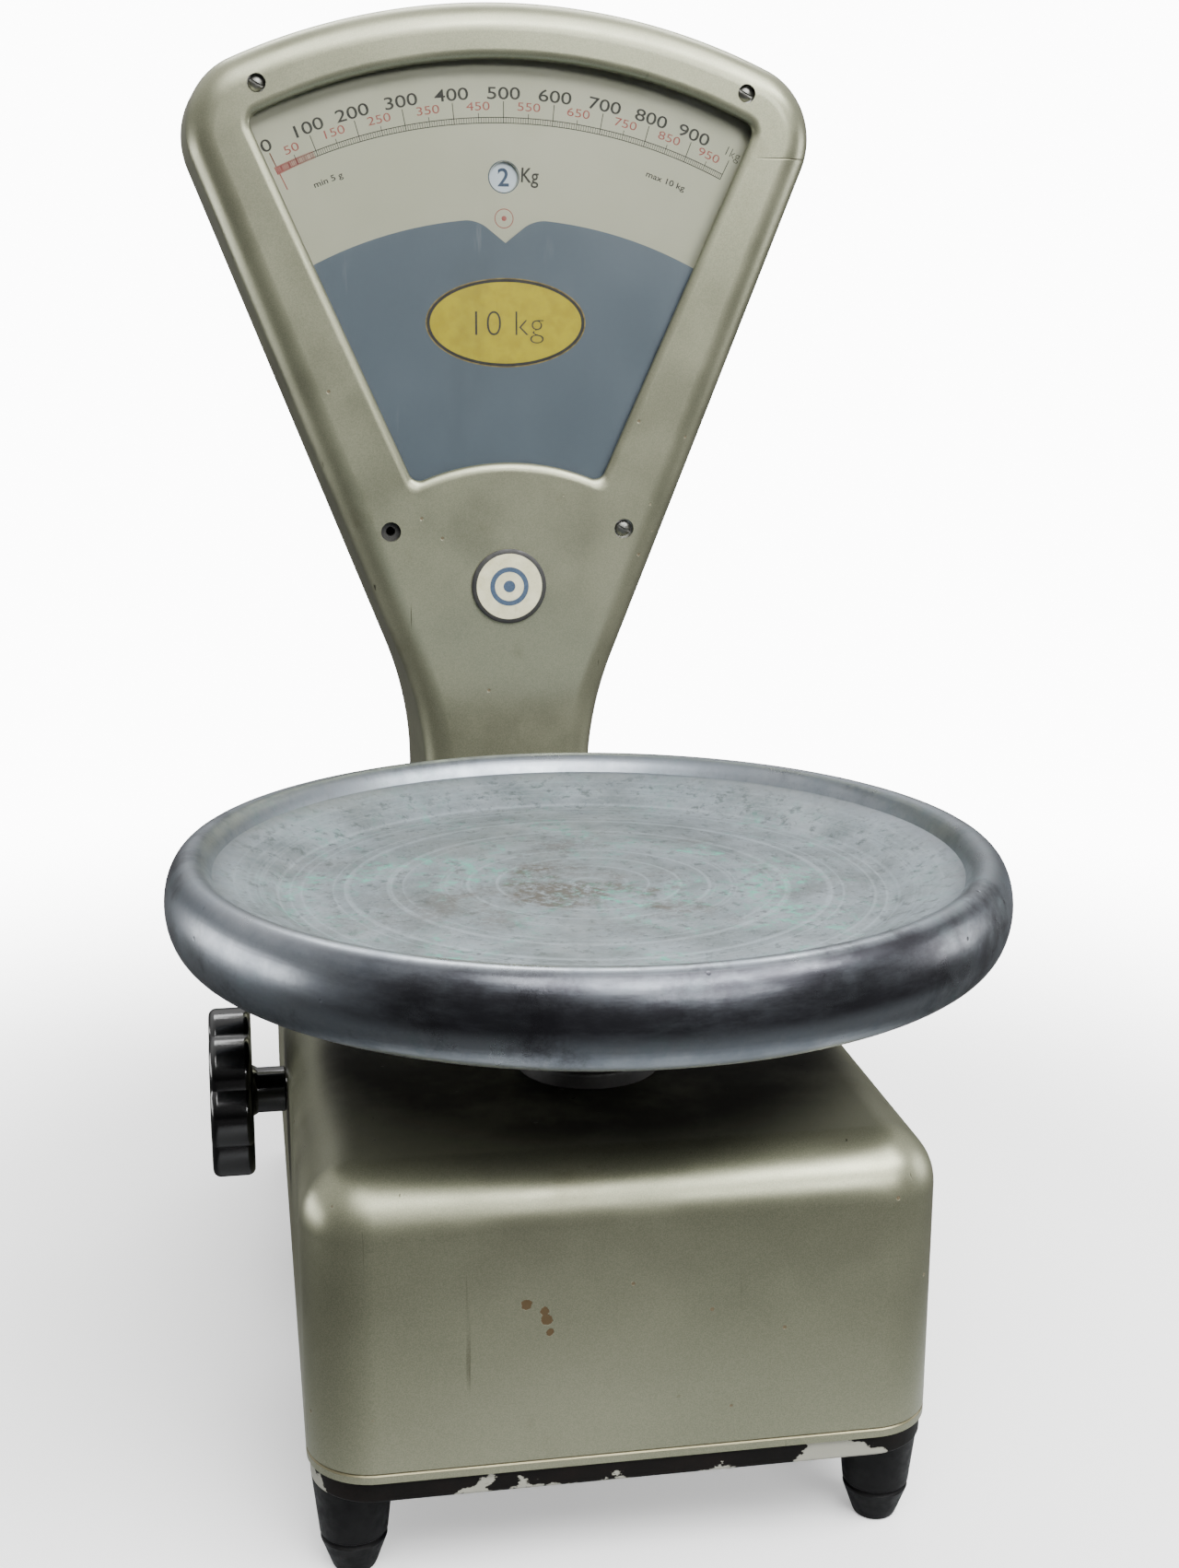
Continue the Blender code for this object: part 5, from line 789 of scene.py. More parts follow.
@dataclass
class BoxBase:
    """The box base: its painted cover, black lower edge, rubber feet and stem collar."""

    corner: float = 0.023
    edge: float = 0.0205
    wall: float = 0.003
    seam_rise: float = 0.003
    seam_width: float = 0.0004
    stem_hole: float = 0.0198
    knob_hole: float = 0.0061
    throat: Triple = (0.056, 0.05, 0.02)
    throat_back: float = 0.018
    lip_inset: float = 0.0012
    lip_rim: float = 0.006
    lip_floor: float = 0.004
    foot_waist: float = 0.0117
    foot_groove: float = 0.0106
    groove_low: float = 0.0120
    groove_width: float = 0.0016
    foot_bottom: float = 0.0079
    foot_edge: float = 0.0015
    collar_bore: float = 0.012
    collar_tube: float = 0.0195
    collar_brim: float = 0.026
    collar_gap: float = 0.0003
    corner_steps: int = 14
    foot_steps: int = 40
    collar_steps: int = 64
    chips: tuple[tuple[Triple, float], ...] = (
        ((-0.0362, -0.165, 0.1042), 0.0040), ((-0.0302, -0.165, 0.1012), 0.0032),
        ((-0.0295, -0.165, 0.0982), 0.0040), ((-0.0285, -0.165, 0.0935), 0.0028))

    def slab(self, low: Vector, high: Vector, inset: float) -> Mesh:
        """Makes a closed slab with round corners between two corners of its box."""
        mesh = bmesh.new()
        middle = (low + high) / 2
        half = (high - low) / 2
        bmesh.ops.create_grid(mesh, x_segments=1, y_segments=1, size=1,
                              matrix=Matrix.Translation((middle.x, middle.y, low.z))
                              @ Matrix.Diagonal((half.x, half.y, 1, 1)))
        rounded(mesh, mesh.verts[:], self.corner - inset, self.corner_steps, kind="VERTICES")
        raise_faces(mesh, mesh.faces[:], (0, 0, high.z - low.z))
        weld(mesh)
        return mesh

    def cover(self) -> Mesh:
        """Builds the cover: a rounded box, open below, with a fine seam near its edge."""
        low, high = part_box("base_cover")
        mesh = self.slab(low, high, 0)
        rounded(mesh, in_plane(mesh.edges, "Z", high.z), self.edge, self.corner_steps)
        heights = [low.z + self.seam_rise + self.seam_width * step for step in (-1, 0, 1, 2)]
        for height in heights:
            bmesh.ops.bisect_plane(mesh, geom=everything(mesh), dist=MERGE, plane_co=(0, 0, height),
                                   plane_no=(0, 0, 1))
        weld(mesh)
        mesh.normal_update()
        for vert in mesh.verts:
            if heights[0] + MERGE < vert.co.z < heights[-1] - MERGE:
                vert.co -= vert.normal * self.seam_width
        bmesh.ops.delete(mesh, geom=in_plane(mesh.faces, "Z", low.z), context="FACES")
        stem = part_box("stem_collar")
        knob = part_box("knob_bush")
        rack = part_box("number_rack")
        knob_middle = (knob[0] + knob[1]) / 2
        through = 0.01
        return carve(shell(mesh, self.wall), [
            drum(self.stem_hole, high.z - through, high.z + through, "Z", (0, (stem[0].y + stem[1].y) / 2)),
            drum(self.knob_hole, low.x - through, low.x + through, "X", (knob_middle.y, knob_middle.z)),
            block((0, (rack[0].y + rack[1].y) / 2 - self.throat_back, high.z), self.throat)])

    def lower_edge(self) -> Mesh:
        """Builds the black tray whose edge shows under the cover."""
        low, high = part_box("base_casting")
        mesh = self.slab(low, high, self.lip_inset)
        rounded(mesh, in_plane(mesh.edges, "Z", low.z), self.lip_inset, steps=3)
        top = in_plane(mesh.faces, "Z", high.z)
        bmesh.ops.inset_region(mesh, faces=top, thickness=self.lip_rim, use_even_offset=True)
        raise_faces(mesh, top, (0, 0, low.z + self.lip_floor - high.z))
        bmesh.ops.delete(mesh, geom=[face for face in top if face.is_valid], context="FACES_ONLY")
        weld(mesh)
        return mesh

    def foot(self, node: str) -> Mesh:
        """Builds one tapered foot with its groove."""
        low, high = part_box(node)
        bottom, waist, groove = self.foot_bottom, self.foot_waist, self.foot_groove
        below, above = self.groove_low, self.groove_low + self.groove_width
        soft = self.groove_width / 4
        height = high.z - low.z
        edge = self.foot_edge
        rises = ((0, 0), (bottom - edge, 0), (bottom - edge / 3, edge / 3), (bottom, edge),
                 (waist - soft / 2, below - soft), (waist - soft, below), (groove, below + soft),
                 (groove, above - soft), (waist - soft, above), (waist, above + soft),
                 ((high.x - low.x) / 2, height), (0, height))
        section = [(radius, low.z + rise) for radius, rise in rises]
        return turned("Z", (low + high) / 2, section, self.foot_steps)

    def collar(self) -> Mesh:
        """Builds the brimmed collar round the stem."""
        low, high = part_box("stem_collar")
        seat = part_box("base_cover")[1].z + self.collar_gap
        bore, tube, brim = self.collar_bore, self.collar_tube, self.collar_brim
        section = ((bore, low.z), (tube, low.z), (tube, seat), (brim, seat), (brim, high.z - 0.0015),
                   (brim - 0.0005, high.z - 0.0005), (brim - 0.0015, high.z), (bore, high.z),
                   (bore, low.z))
        return turned("Z", Vector((0, (low.y + high.y) / 2, 0)), section, self.collar_steps)

    def build(self) -> None:
        """Builds and dresses the base."""
        paint = SatinPaint("champagne_paint_base", GOLD.colour, GOLD.second, GOLD.roughness, GOLD.metal,
                           chips=self.chips, seam=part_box("base_cover")[0].z + self.seam_rise,
                           roof=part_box("base_cover")[1].z)
        make_piece("painted_base_cover", self.cover(), [paint], ["base_cover"])
        make_piece("black_lower_edge", self.lower_edge(), [BLACK_EDGE], ["base_casting"])
        for place in ("front_left", "front_right", "rear_left", "rear_right"):
            node = "foot_" + place
            make_piece("rubber_" + node, self.foot(node), [RUBBER], [node])
        # the collar gets dark paint as painted shade, for the shadow under the pan
        make_piece("painted_shade_stem_collar", self.collar(), [DARK_PAINT], ["stem_collar"])


@dataclass
class Pan:
    """The turned pan with its flat floor and its rolled rim."""

    rim_bulge: float = 0.0092
    rim_radius: float = 0.0160
    wall: float = 0.0035
    well: float = 0.113
    well_fillet: float = 0.005
    rim_start: float = math.radians(-96)
    rim_end: float = math.radians(144)
    rim_steps: int = 28
    steps: int = 180

    def build(self) -> None:
        """Spins the pan's section round its upright axis."""
        low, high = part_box("pan")
        middle = (low + high) / 2
        top = high.z - self.rim_radius
        under = top - self.wall
        well, fillet = self.well, self.well_fillet
        turns = [self.rim_start + (self.rim_end - self.rim_start) * step / self.rim_steps
                 for step in range(self.rim_steps + 1)]

        def on_rim(inset: float, angle: float) -> Pair:
            """Returns a point of the rolled rim, drawn in by an inset."""
            return ((high.x - low.x) / 2 - self.rim_bulge + (self.rim_bulge - inset) * math.cos(angle),
                    top + (self.rim_radius - inset) * math.sin(angle))

        section = [(0, under), (well - fillet / 2, under), (well + fillet / 2, under + fillet / 2),
                   *(on_rim(self.wall, angle) for angle in reversed(turns)),
                   *(on_rim(0, angle) for angle in turns),
                   (well, top + fillet / 2), (well - fillet / 2, top + fillet / 8), (well - fillet, top),
                   (0, top)]
        mesh = turned("Z", Vector((0, middle.y, 0)), section, self.steps)
        metal = TurnedAluminium("turned_aluminium_pan", ALUMINIUM.colour, ALUMINIUM.second,
                                ALUMINIUM.roughness, ALUMINIUM.metal, centre=(middle.x, middle.y, top),
                                well=well)
        make_piece("turned_pan", mesh, [metal], ["pan"], Body.PAN)


@dataclass
class FanHead:
    """The fan-shaped housing with its window, its back plate and its screws."""

    head_arc: float = 0.284
    head_corner: float = 0.0325
    side_angle: float = math.radians(21.4)
    neck_half: float = 0.0379
    neck_rise: float = 0.0856
    neck_fillet: float = 0.160
    flare_radius: float = 0.080
    flare_height: float = 0.048
    edge: float = 0.0105
    edge_steps: int = 9
    band: float = 0.0128
    draft: float = 0.0028
    wall: float = 0.003
    plate_edge: float = 0.0012
    pivot_rise: float = 0.1238
    window_arc: float = 0.248
    window_angle: float = math.radians(23.9)
    window_foot: float = 0.0115
    sill_rise: float = 0.0779
    sill_arc: float = 0.100
    window_corner: float = 0.005
    lip: float = 0.0042
    lip_depth: float = 0.0024
    lip_steps: int = 7
    top_hole: float = 0.0039
    low_hole: float = 0.0044
    throat: Triple = (0.056, 0.05, 0.02)
    throat_depth: float = 0.033
    screw_flange: float = 0.0022
    screw_slot: Pair = (0.0018, 0.0009)
    screw_turn: float = math.radians(28)

    def __post_init__(self) -> None:
        """Takes the housing's places from the frame."""
        self.low, self.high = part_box("fan_housing")
        self.pivot = Vector((0, self.low.y, self.low.z + self.pivot_rise))

    def outline(self, mesh: Mesh, inset: float, y: float) -> None:
        """Draws the right half of the fan outline, drawn in all round but below, at a depth."""
        slope, outward = leaning(self.side_angle)
        neck = Vector((self.neck_half, y, self.low.z + self.neck_rise))
        head = Vector((0, y, self.high.z - self.draft - self.head_arc))
        corner = meeting(neck - outward * self.head_corner, slope, head, self.head_arc - self.head_corner)
        flare = Vector((self.neck_half + self.flare_radius, y, self.low.z + self.flare_height))
        flare_reach = self.flare_radius + inset
        lowest = math.asin(self.flare_height / flare_reach)
        fillet = Vector((self.neck_half + self.neck_fillet, y,
                         neck.z - self.neck_fillet * math.tan(self.side_angle / 2)))
        head_angle = math.atan2(corner.z - head.z, corner.x - head.x)
        pen = Pen(mesh, (0, y, self.low.z))
        pen.line((flare.x - flare_reach * math.cos(lowest), y, self.low.z))
        pen.arc(flare, -lowest, steps=16)
        pen.line((self.neck_half - inset, y, fillet.z))
        pen.arc(fillet, -self.side_angle, steps=20)
        pen.line(corner + outward * (self.head_corner - inset))
        pen.arc(corner, head_angle + self.side_angle, steps=28)
        pen.arc(head, QUARTER - head_angle, steps=40)

    def window(self, mesh: Mesh, grow: float, y: float) -> None:
        """Draws the right half of the window's outline, grown all round, at a depth."""
        slope, outward = leaning(self.window_angle)
        pivot = Vector((0, y, self.pivot.z))
        foot = pivot + Vector((self.window_foot, 0, 0)) + outward * grow
        round_top = self.window_corner + grow
        top = meeting(foot - outward * round_top, slope, pivot, self.window_arc + grow - round_top)
        sill = pivot + Vector((0, 0, self.sill_rise - self.sill_arc))
        bottom = meeting(foot - outward * self.window_corner, slope, sill,
                         self.sill_arc - grow + self.window_corner)
        sill_angle = math.atan2(bottom.z - sill.z, bottom.x - sill.x)
        top_angle = math.atan2(top.z - pivot.z, top.x)
        pen = Pen(mesh, (0, y, sill.z + self.sill_arc - grow))
        pen.arc(sill, sill_angle - QUARTER, steps=20)
        pen.arc(bottom, math.pi - self.window_angle - sill_angle, steps=10)
        pen.line(top + outward * round_top)
        pen.arc(top, top_angle + self.window_angle, steps=10)
        pen.arc(pivot, QUARTER - top_angle, steps=36)

    def window_cutter(self) -> Mesh:
        """Builds the flared cutter that leaves a rounded lip round the window."""
        mesh = bmesh.new()
        face = self.low.y
        outlines = [(self.lip, face - self.wall),
                    *quarter_round(self.lip, self.lip_depth, face, self.lip_steps),
                    (0, face + 2 * self.wall)]
        for grow, depth in outlines:
            self.window(mesh, grow, depth)
        stacked(mesh, [depth for _, depth in outlines])
        return mesh

    def housing(self) -> Mesh:
        """Builds the housing: a rounded front and walls, open behind."""
        mesh = bmesh.new()
        face = self.low.y
        outlines = [*quarter_round(self.band, self.edge, face, self.edge_steps), (-self.draft, self.high.y)]
        for inset, depth in outlines:
            self.outline(mesh, inset, depth)
        stacked(mesh, [depth for _, depth in outlines])
        bmesh.ops.delete(mesh, geom=in_plane(mesh.faces, "Y", self.high.y), context="FACES")
        weld(mesh)
        cutters = [self.window_cutter()]
        for name, hole in (("top_left", self.top_hole), ("top_right", self.top_hole),
                           ("lower_left", self.low_hole), ("lower_right", self.low_hole)):
            low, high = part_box("case_post_" + name)
            middle = (low + high) / 2
            cutters.append(drum(hole, face - self.wall, face + 2 * self.wall, "Y", (middle.x, middle.z)))
        cutters.append(block((0, face + self.throat_depth, self.low.z), self.throat))
        return carve(shell(mesh, self.wall), cutters)

    def back_plate(self) -> Mesh:
        """Builds the plain plate behind the housing."""
        low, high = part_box("fan_back_cover")
        mesh = bmesh.new()
        self.outline(mesh, -self.draft, low.y)
        plated(mesh, high.y - low.y)
        rounded(mesh, in_plane(mesh.edges, "Y", high.y), self.plate_edge, steps=4)
        return mesh

    def screw(self, node: str) -> Mesh:
        """Builds a round-headed slotted screw in its hole."""
        low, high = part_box(node)
        middle = (low + high) / 2
        radius = (high.x - low.x) / 2
        shank = radius / 2
        dome = radius / 3
        flange = low.y + self.screw_flange
        section = ((0, low.y), (shank, low.y + dome / 6), (radius * 0.85, low.y + dome * 0.6),
                   (radius, low.y + dome), (radius, flange), (shank, flange), (shank, high.y),
                   (0, high.y))
        slot = block((middle.x, low.y, middle.z), (radius * 3, *self.screw_slot), self.screw_turn)
        return carve(turned("Y", middle, section, steps=32), [slot])

    def build(self) -> None:
        """Builds and dresses the head."""
        make_piece("painted_fan_housing", self.housing(), [GOLD], ["fan_housing"])
        make_piece("painted_back_plate", self.back_plate(), [GOLD], ["fan_back_cover"])
        for node in ("screw_top_left", "screw_top_right", "screw_lower_right"):
            make_piece("slotted_" + node, self.screw(node), [SCREW_STEEL], [node])


@dataclass
class Dial:
    """What shows in the window: the glass, the slate panel, the chart's print and the numbers."""

    head: FanHead
    lap: float = 0.004
    panel_arc: float = 0.1827
    notch_half: float = 0.0125
    notch_radius: float = 0.1724
    notch_round: float = 0.0052
    border: float = 0.0013
    lower_arc: float = 0.2225
    upper_arc: float = 0.2248
    middle_tick: float = 0.2268
    long_tick: float = 0.2316
    zero_foot: float = 0.215
    black_ring: float = 0.2350
    black_height: float = 0.0050
    red_ring: float = 0.2297
    red_height: float = 0.0035
    broad: float = 1.4
    unit_height: float = 0.0062
    unit_lean: float = math.radians(3.2)
    unit_rise: float = 0.0012
    notes: tuple[tuple[str, float], ...] = (("min 5 g", math.radians(-21.0)),
                                            ("max 10 kg", math.radians(19.8)))
    note_radius: float = 0.2122
    note_height: float = 0.0025
    number_radius: float = 0.2003
    number_ring: float = 0.0069
    number_height: float = 0.0075
    number_step: float = math.radians(36)
    number_shown: int = 2
    digit_radius: float = 0.030
    mark_radius: float = 0.1829
    mark_ring: float = 0.0042
    mark_dot: float = 0.0011
    fine_ring: float = 0.0004
    oval_radius: float = 0.1385
    oval_half: float = 0.0355
    oval_text: float = 0.0110
    tangent_span: float = 1038.7
    full_load: int = 1000
    fine_step: int = 5
    line: float = 0.00036

    def __post_init__(self) -> None:
        """Takes the print's depth from the chart plate."""
        self.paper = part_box("chart_plate")[0].y - INK
        self.pivot = self.head.pivot

    def angle(self, grams: float) -> float:
        """Returns the pointer's lean for a load, clockwise from upright."""
        return math.atan((grams - self.full_load / 2) / self.tangent_span)

    def spot(self, lean: float, radius: float, depth: float | None = None) -> Matrix:
        """Returns the place and turn of a mark on the dial.

        Args:
            lean: The mark's angle, clockwise from upright.
            radius: Its distance from the pivot.
            depth: Its place along Y, the chart's face if left out.

        Returns:
            A matrix whose own X runs along the arc, Z away from the pivot and Y to the back.
        """
        y = self.paper if depth is None else depth
        return (Matrix.Translation((0, y, self.pivot.z)) @ Matrix.Rotation(lean, 4, "Y")
                @ Matrix.Translation((0, 0, radius)))

    def panel(self) -> Mesh:
        """Builds the slate panel with a notch and a dark and gold border line."""
        low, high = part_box("dial_mask")
        mesh = bmesh.new()
        slope, outward = leaning(self.head.window_angle)
        pivot = Vector((0, low.y, self.pivot.z))
        foot = pivot + Vector((self.head.window_foot, 0, 0)) + outward * self.lap
        corner = meeting(foot, slope, pivot, self.panel_arc)
        sill = pivot + Vector((0, 0, self.head.sill_rise - self.head.sill_arc))
        reach = self.head.sill_arc - self.lap
        base = meeting(foot, slope, sill, reach)
        corner_angle = math.atan2(corner.z - pivot.z, corner.x)
        notch_angle = math.acos(self.notch_half / self.panel_arc)
        pen = Pen(mesh, (0, low.y, sill.z + reach))
        pen.arc(sill, math.atan2(base.z - sill.z, base.x) - QUARTER, steps=16)
        pen.line(corner)
        pen.arc(pivot, notch_angle - corner_angle, steps=14)
        shoulder = pen.tip
        pen.line((0, low.y, pivot.z + self.notch_radius))
        rounded(mesh, [shoulder], self.notch_round, steps=8, kind="VERTICES")
        mirrored(mesh)
        fill(mesh)
        mesh.faces.ensure_lookup_table()
        mesh.normal_update()
        face = mesh.faces[0]
        if face.normal.y > 0:
            face.normal_flip()
        for place, width in ((1, self.border), (2, self.border / 3)):
            strip = bmesh.ops.inset_region(mesh, faces=[face], thickness=width, use_even_offset=True)
            for part in strip["faces"]:
                part.material_index = place
        raise_faces(mesh, mesh.faces[:], (0, high.y - low.y, 0))
        bmesh.ops.recalc_face_normals(mesh, faces=mesh.faces[:])
        return mesh

    def glass(self) -> Mesh:
        """Builds the window glass."""
        low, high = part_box("window_glass")
        mesh = bmesh.new()
        self.head.window(mesh, self.lap, low.y)
        return plated(mesh, high.y - low.y)

    def bar(self, mesh: Mesh, place: Matrix, width: float, height: float) -> None:
        """Adds a flat printed bar that starts at a place and runs away from the pivot."""
        bmesh.ops.create_cube(mesh, size=1, matrix=place @ Matrix.Translation((0, 0, height / 2))
                              @ Matrix.Diagonal((width, INK, height, 1)))

    def arc_line(self, mesh: Mesh, radius: float, start: float, end: float) -> None:
        """Adds a printed arc line round the pivot between two leans."""
        strip = bmesh.new()
        ends = [self.spot(start, reach).translation for reach in (radius, radius + self.line)]
        strip.edges.new([strip.verts.new(end_point) for end_point in ends])
        bmesh.ops.spin(strip, geom=everything(strip), cent=tuple(self.pivot), axis=(0, 1, 0),
                       dvec=(0, 0, 0), angle=end - start, steps=96, use_merge=False, use_duplicate=False)
        raise_faces(strip, strip.faces[:], (0, -INK, 0))
        weld(strip)
        add_mesh(mesh, strip)

    def ticks(self) -> Mesh:
        """Builds the double arc and its dark divisions."""
        mesh = bmesh.new()
        for radius in (self.lower_arc, self.upper_arc):
            self.arc_line(mesh, radius, self.angle(0), self.angle(self.full_load))
        for grams in range(0, self.full_load + 1, self.fine_step):
            width, top = ((1.0, self.long_tick) if grams % 100 == 0 else
                          (0.8, self.middle_tick) if grams % 50 == 0 else (0.6, self.upper_arc))
            self.bar(mesh, self.spot(self.angle(grams), self.lower_arc), self.line * width,
                     top - self.lower_arc)
        return mesh

    def red_zone(self) -> Mesh:
        """Builds the red start of the scale: its zero line and its short red divisions."""
        mesh = bmesh.new()
        self.bar(mesh, self.spot(self.angle(0), self.zero_foot), self.line * 1.4,
                 self.long_tick - self.zero_foot)
        over = self.paper - 2 * INK
        for grams in range(-4, 96, 4):
            self.bar(mesh, self.spot(self.angle(grams), self.lower_arc - self.line, over),
                     self.line * (1.7 - grams / 90), self.upper_arc - self.lower_arc + self.line * 3)
        return mesh

    def ring(self, radius: float, width: float, place: Matrix) -> Mesh:
        """Builds a flat printed ring round a place."""
        mesh = bmesh.new()
        bmesh.ops.create_circle(mesh, segments=48, radius=radius)
        inner = bmesh.ops.extrude_edge_only(mesh, edges=mesh.edges[:])
        bmesh.ops.scale(mesh, vec=Vector((1, 1, 1)) * (radius - width) / radius,
                        verts=verts_of(inner["geom"]))
        raise_faces(mesh, mesh.faces[:], (0, 0, INK))
        bmesh.ops.transform(mesh, matrix=place @ Matrix.Rotation(QUARTER, 4, "X"), verts=mesh.verts[:])
        weld(mesh)
        return mesh

    def disc(self, radius: float, place: Matrix, stretch: float = 1.0) -> Mesh:
        """Builds a flat printed disc or oval at a place."""
        mesh = bmesh.new()
        bmesh.ops.create_cone(mesh, cap_ends=True, segments=64, radius1=radius, radius2=radius, depth=INK)
        bmesh.ops.transform(mesh, matrix=place @ Matrix.Rotation(QUARTER, 4, "X")
                            @ Matrix.Diagonal((1, stretch, 1, 1)), verts=mesh.verts[:])
        weld(mesh)
        return mesh

    def build(self) -> None:
        """Builds and dresses the dial."""
        make_piece("slate_panel", self.panel(), [SLATE, DARK_INK, GOLD_LINE],
                   ["dial_mask"])
        make_piece("clear_window", self.glass(), [GLASS], ["window_glass"])
        make_piece("arc_divisions", self.ticks(), [DARK_INK])
        make_piece("red_start_zone", self.red_zone(), [RED_INK])
        self.numerals()
        self.number_window()
        self.emblem()
        self.badge()

    def numerals(self) -> None:
        """Prints the chart's numbers, its units and its notes."""
        black = bmesh.new()
        red = bmesh.new()
        for grams in range(0, self.full_load, 100):
            middle = grams + 50
            add_mesh(black, lettering(str(grams), self.black_height,
                                      self.spot(self.angle(grams), self.black_ring),
                                      thin=-0.006, wide=self.broad))
            add_mesh(red, lettering(str(middle), self.red_height,
                                    self.spot(self.angle(middle), self.red_ring),
                                    thin=0.0, wide=self.broad))
        add_mesh(black, lettering("1kg", self.black_height * 0.8,
                                  self.spot(self.angle(self.full_load), self.black_ring),
                                  thin=0.012))
        unit = self.spot(self.unit_lean, self.number_radius + self.unit_rise)
        add_mesh(black, lettering("Kg", self.unit_height, unit, thin=-0.01, wide=0.85))
        for words, lean in self.notes:
            add_mesh(black, lettering(words, self.note_height, self.spot(lean, self.note_radius),
                                      thin=-0.012, wide=1.25))
        make_piece("dark_numerals", black, [DARK_INK])
        make_piece("red_numerals", red, [RED_INK])

    def number_window(self) -> None:
        """Builds a thin dark ring of painted shade at the number window's edge, the red mark under it and
        the disc's digits.
        """
        # painted shade: a thin dark ring where the hole's edge shades the number disc
        ring = self.ring(self.number_ring, self.fine_ring, self.spot(0, self.number_radius))
        make_piece("number_window_edge_shade", ring, [BLUE_INK])
        mark = self.ring(self.mark_ring, self.fine_ring, self.spot(0, self.mark_radius))
        add_mesh(mark, self.disc(self.mark_dot, self.spot(0, self.mark_radius)))
        make_piece("red_ring_mark", mark, [RED_INK])
        low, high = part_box("number_disc")
        digits = bmesh.new()
        for digit in range(10):
            place = (Matrix.Translation((0, low.y - INK, (low.z + high.z) / 2))
                     @ Matrix.Rotation((self.number_shown - digit) * self.number_step, 4, "Y")
                     @ Matrix.Translation((0, 0, self.digit_radius)))
            add_mesh(digits, lettering(str(digit), self.number_height, place, thin=-0.015))
        make_piece("disc_digits", digits, [BLUE_INK], body=Body.NUMBER_DISC)

    def emblem(self) -> None:
        """Builds the plain yellow oval on the panel."""
        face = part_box("dial_mask")[0].y - INK
        half = self.oval_half
        layers = (("oval_gold_border", half, 0.54, GOLD_LINE),
                  ("oval_dark_border", half - 0.0005, 0.535, DARK_PAINT),
                  ("yellow_oval", half - 0.0019, 0.52, YELLOW))
        for step, (name, reach, stretch, finish) in enumerate(layers):
            oval = self.disc(reach, self.spot(0, self.oval_radius, face - step * INK), stretch)
            make_piece(name, oval, [finish])
        over = self.spot(0, self.oval_radius, face - len(layers) * INK)
        label = lettering("10 kg", self.oval_text, over, thin=0.02)
        make_piece("oval_numerals", label, [DARK_INK])

    def badge(self) -> None:
        """Builds the cream disc under the window, with a dark edge and a blue ring."""
        low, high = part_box("badge_disc")
        middle = (low + high) / 2
        radius = (high.x - low.x) / 2
        section = ((0, low.y), (radius * 0.88, low.y), (radius * 0.97, low.y + 0.0002),
                   (radius, low.y + 0.0006), (radius, high.y), (0, high.y))
        mesh = turned("Y", Vector((0, low.y, middle.z)), section, steps=96)
        for part in mesh.faces:
            centre = part.calc_center_median()
            if math.hypot(centre.x, centre.z - middle.z) > radius * 0.86:
                part.material_index = 1
        make_piece("cream_badge", mesh, [CREAM, DARK_PAINT], ["badge_disc"])
        place = Matrix.Translation((0, low.y - INK, middle.z))
        print_ring = self.ring(radius * 0.52, radius * 0.13, place)
        add_mesh(print_ring, self.disc(radius * 0.16, place))
        make_piece("badge_blue_ring", print_ring, [BLUE_INK])


@dataclass
class SideKnob:
    """The black lobed knob on the left side."""

    lobes: int = 8
    lobe_depth: float = 0.0034
    lobe_steps: int = 14
    edge: float = 0.003
    dish: float = 0.0012
    dish_rim: float = 0.30
    hub_radius: float = 0.009
    hub_bore: float = 0.0043
    hub_length: float = 0.013
    hub_steps: int = 48

    def build(self) -> None:
        """Draws one lobe, repeats it round the axis, and raises and rounds the disc."""
        low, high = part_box("knob")
        middle = (low + high) / 2
        radius = (high.z - low.z) / 2
        inner = high.x - self.hub_length
        half = math.pi / self.lobes
        valley = radius - self.lobe_depth
        side = valley * math.sin(half)
        rise = radius - valley * math.cos(half)
        lobe = (side ** 2 + rise ** 2) / (2 * rise)
        centre = radius - lobe
        spread = math.asin(side / lobe)
        mesh = bmesh.new()
        start = (centre + lobe * math.cos(spread), -lobe * math.sin(spread), 0)
        Pen(mesh, start, "XY").arc((centre, 0, 0), 2 * spread, self.lobe_steps)
        bmesh.ops.spin(mesh, geom=everything(mesh), cent=(0, 0, 0), axis=(0, 0, 1), dvec=(0, 0, 0),
                       angle=FULL_TURN - 2 * half, steps=self.lobes - 1, use_merge=False,
                       use_duplicate=True)
        bmesh.ops.remove_doubles(mesh, verts=mesh.verts[:], dist=MERGE * 10)
        fill(mesh)
        raise_faces(mesh, mesh.faces[:], (0, 0, inner - low.x))
        weld(mesh)
        rims = [edge for edge in mesh.edges if abs(edge.verts[0].co.z - edge.verts[1].co.z) < MERGE]
        rounded(mesh, rims, self.edge, steps=6)
        faces = sorted(mesh.faces, key=lambda face: face.calc_area())[-2:]
        front = min(faces, key=lambda face: face.calc_center_median().z)
        bmesh.ops.inset_region(mesh, faces=[front], thickness=radius * self.dish_rim, use_even_offset=True)
        bmesh.ops.translate(mesh, verts=front.verts[:], vec=(0, 0, self.dish))
        turn = Matrix.Translation((low.x, middle.y, middle.z)) @ Matrix.Rotation(QUARTER, 4, "Y")
        bmesh.ops.transform(mesh, matrix=turn, verts=mesh.verts[:])
        weld(mesh)
        make_piece("lobed_knob", mesh, [RESIN], ["knob"], Body.KNOB)
        hub, bore, back = self.hub_radius, self.hub_bore, inner - 0.001
        section = ((bore, back), (hub + 0.0015, back), (hub + 0.0008, inner + 0.0006), (hub, inner + 0.002),
                   (hub, high.x - 0.0006), (hub - 0.0006, high.x), (bore, high.x), (bore, back))
        make_piece("knob_hub", turned("X", middle, section, self.hub_steps), [RESIN],
                   body=Body.KNOB)


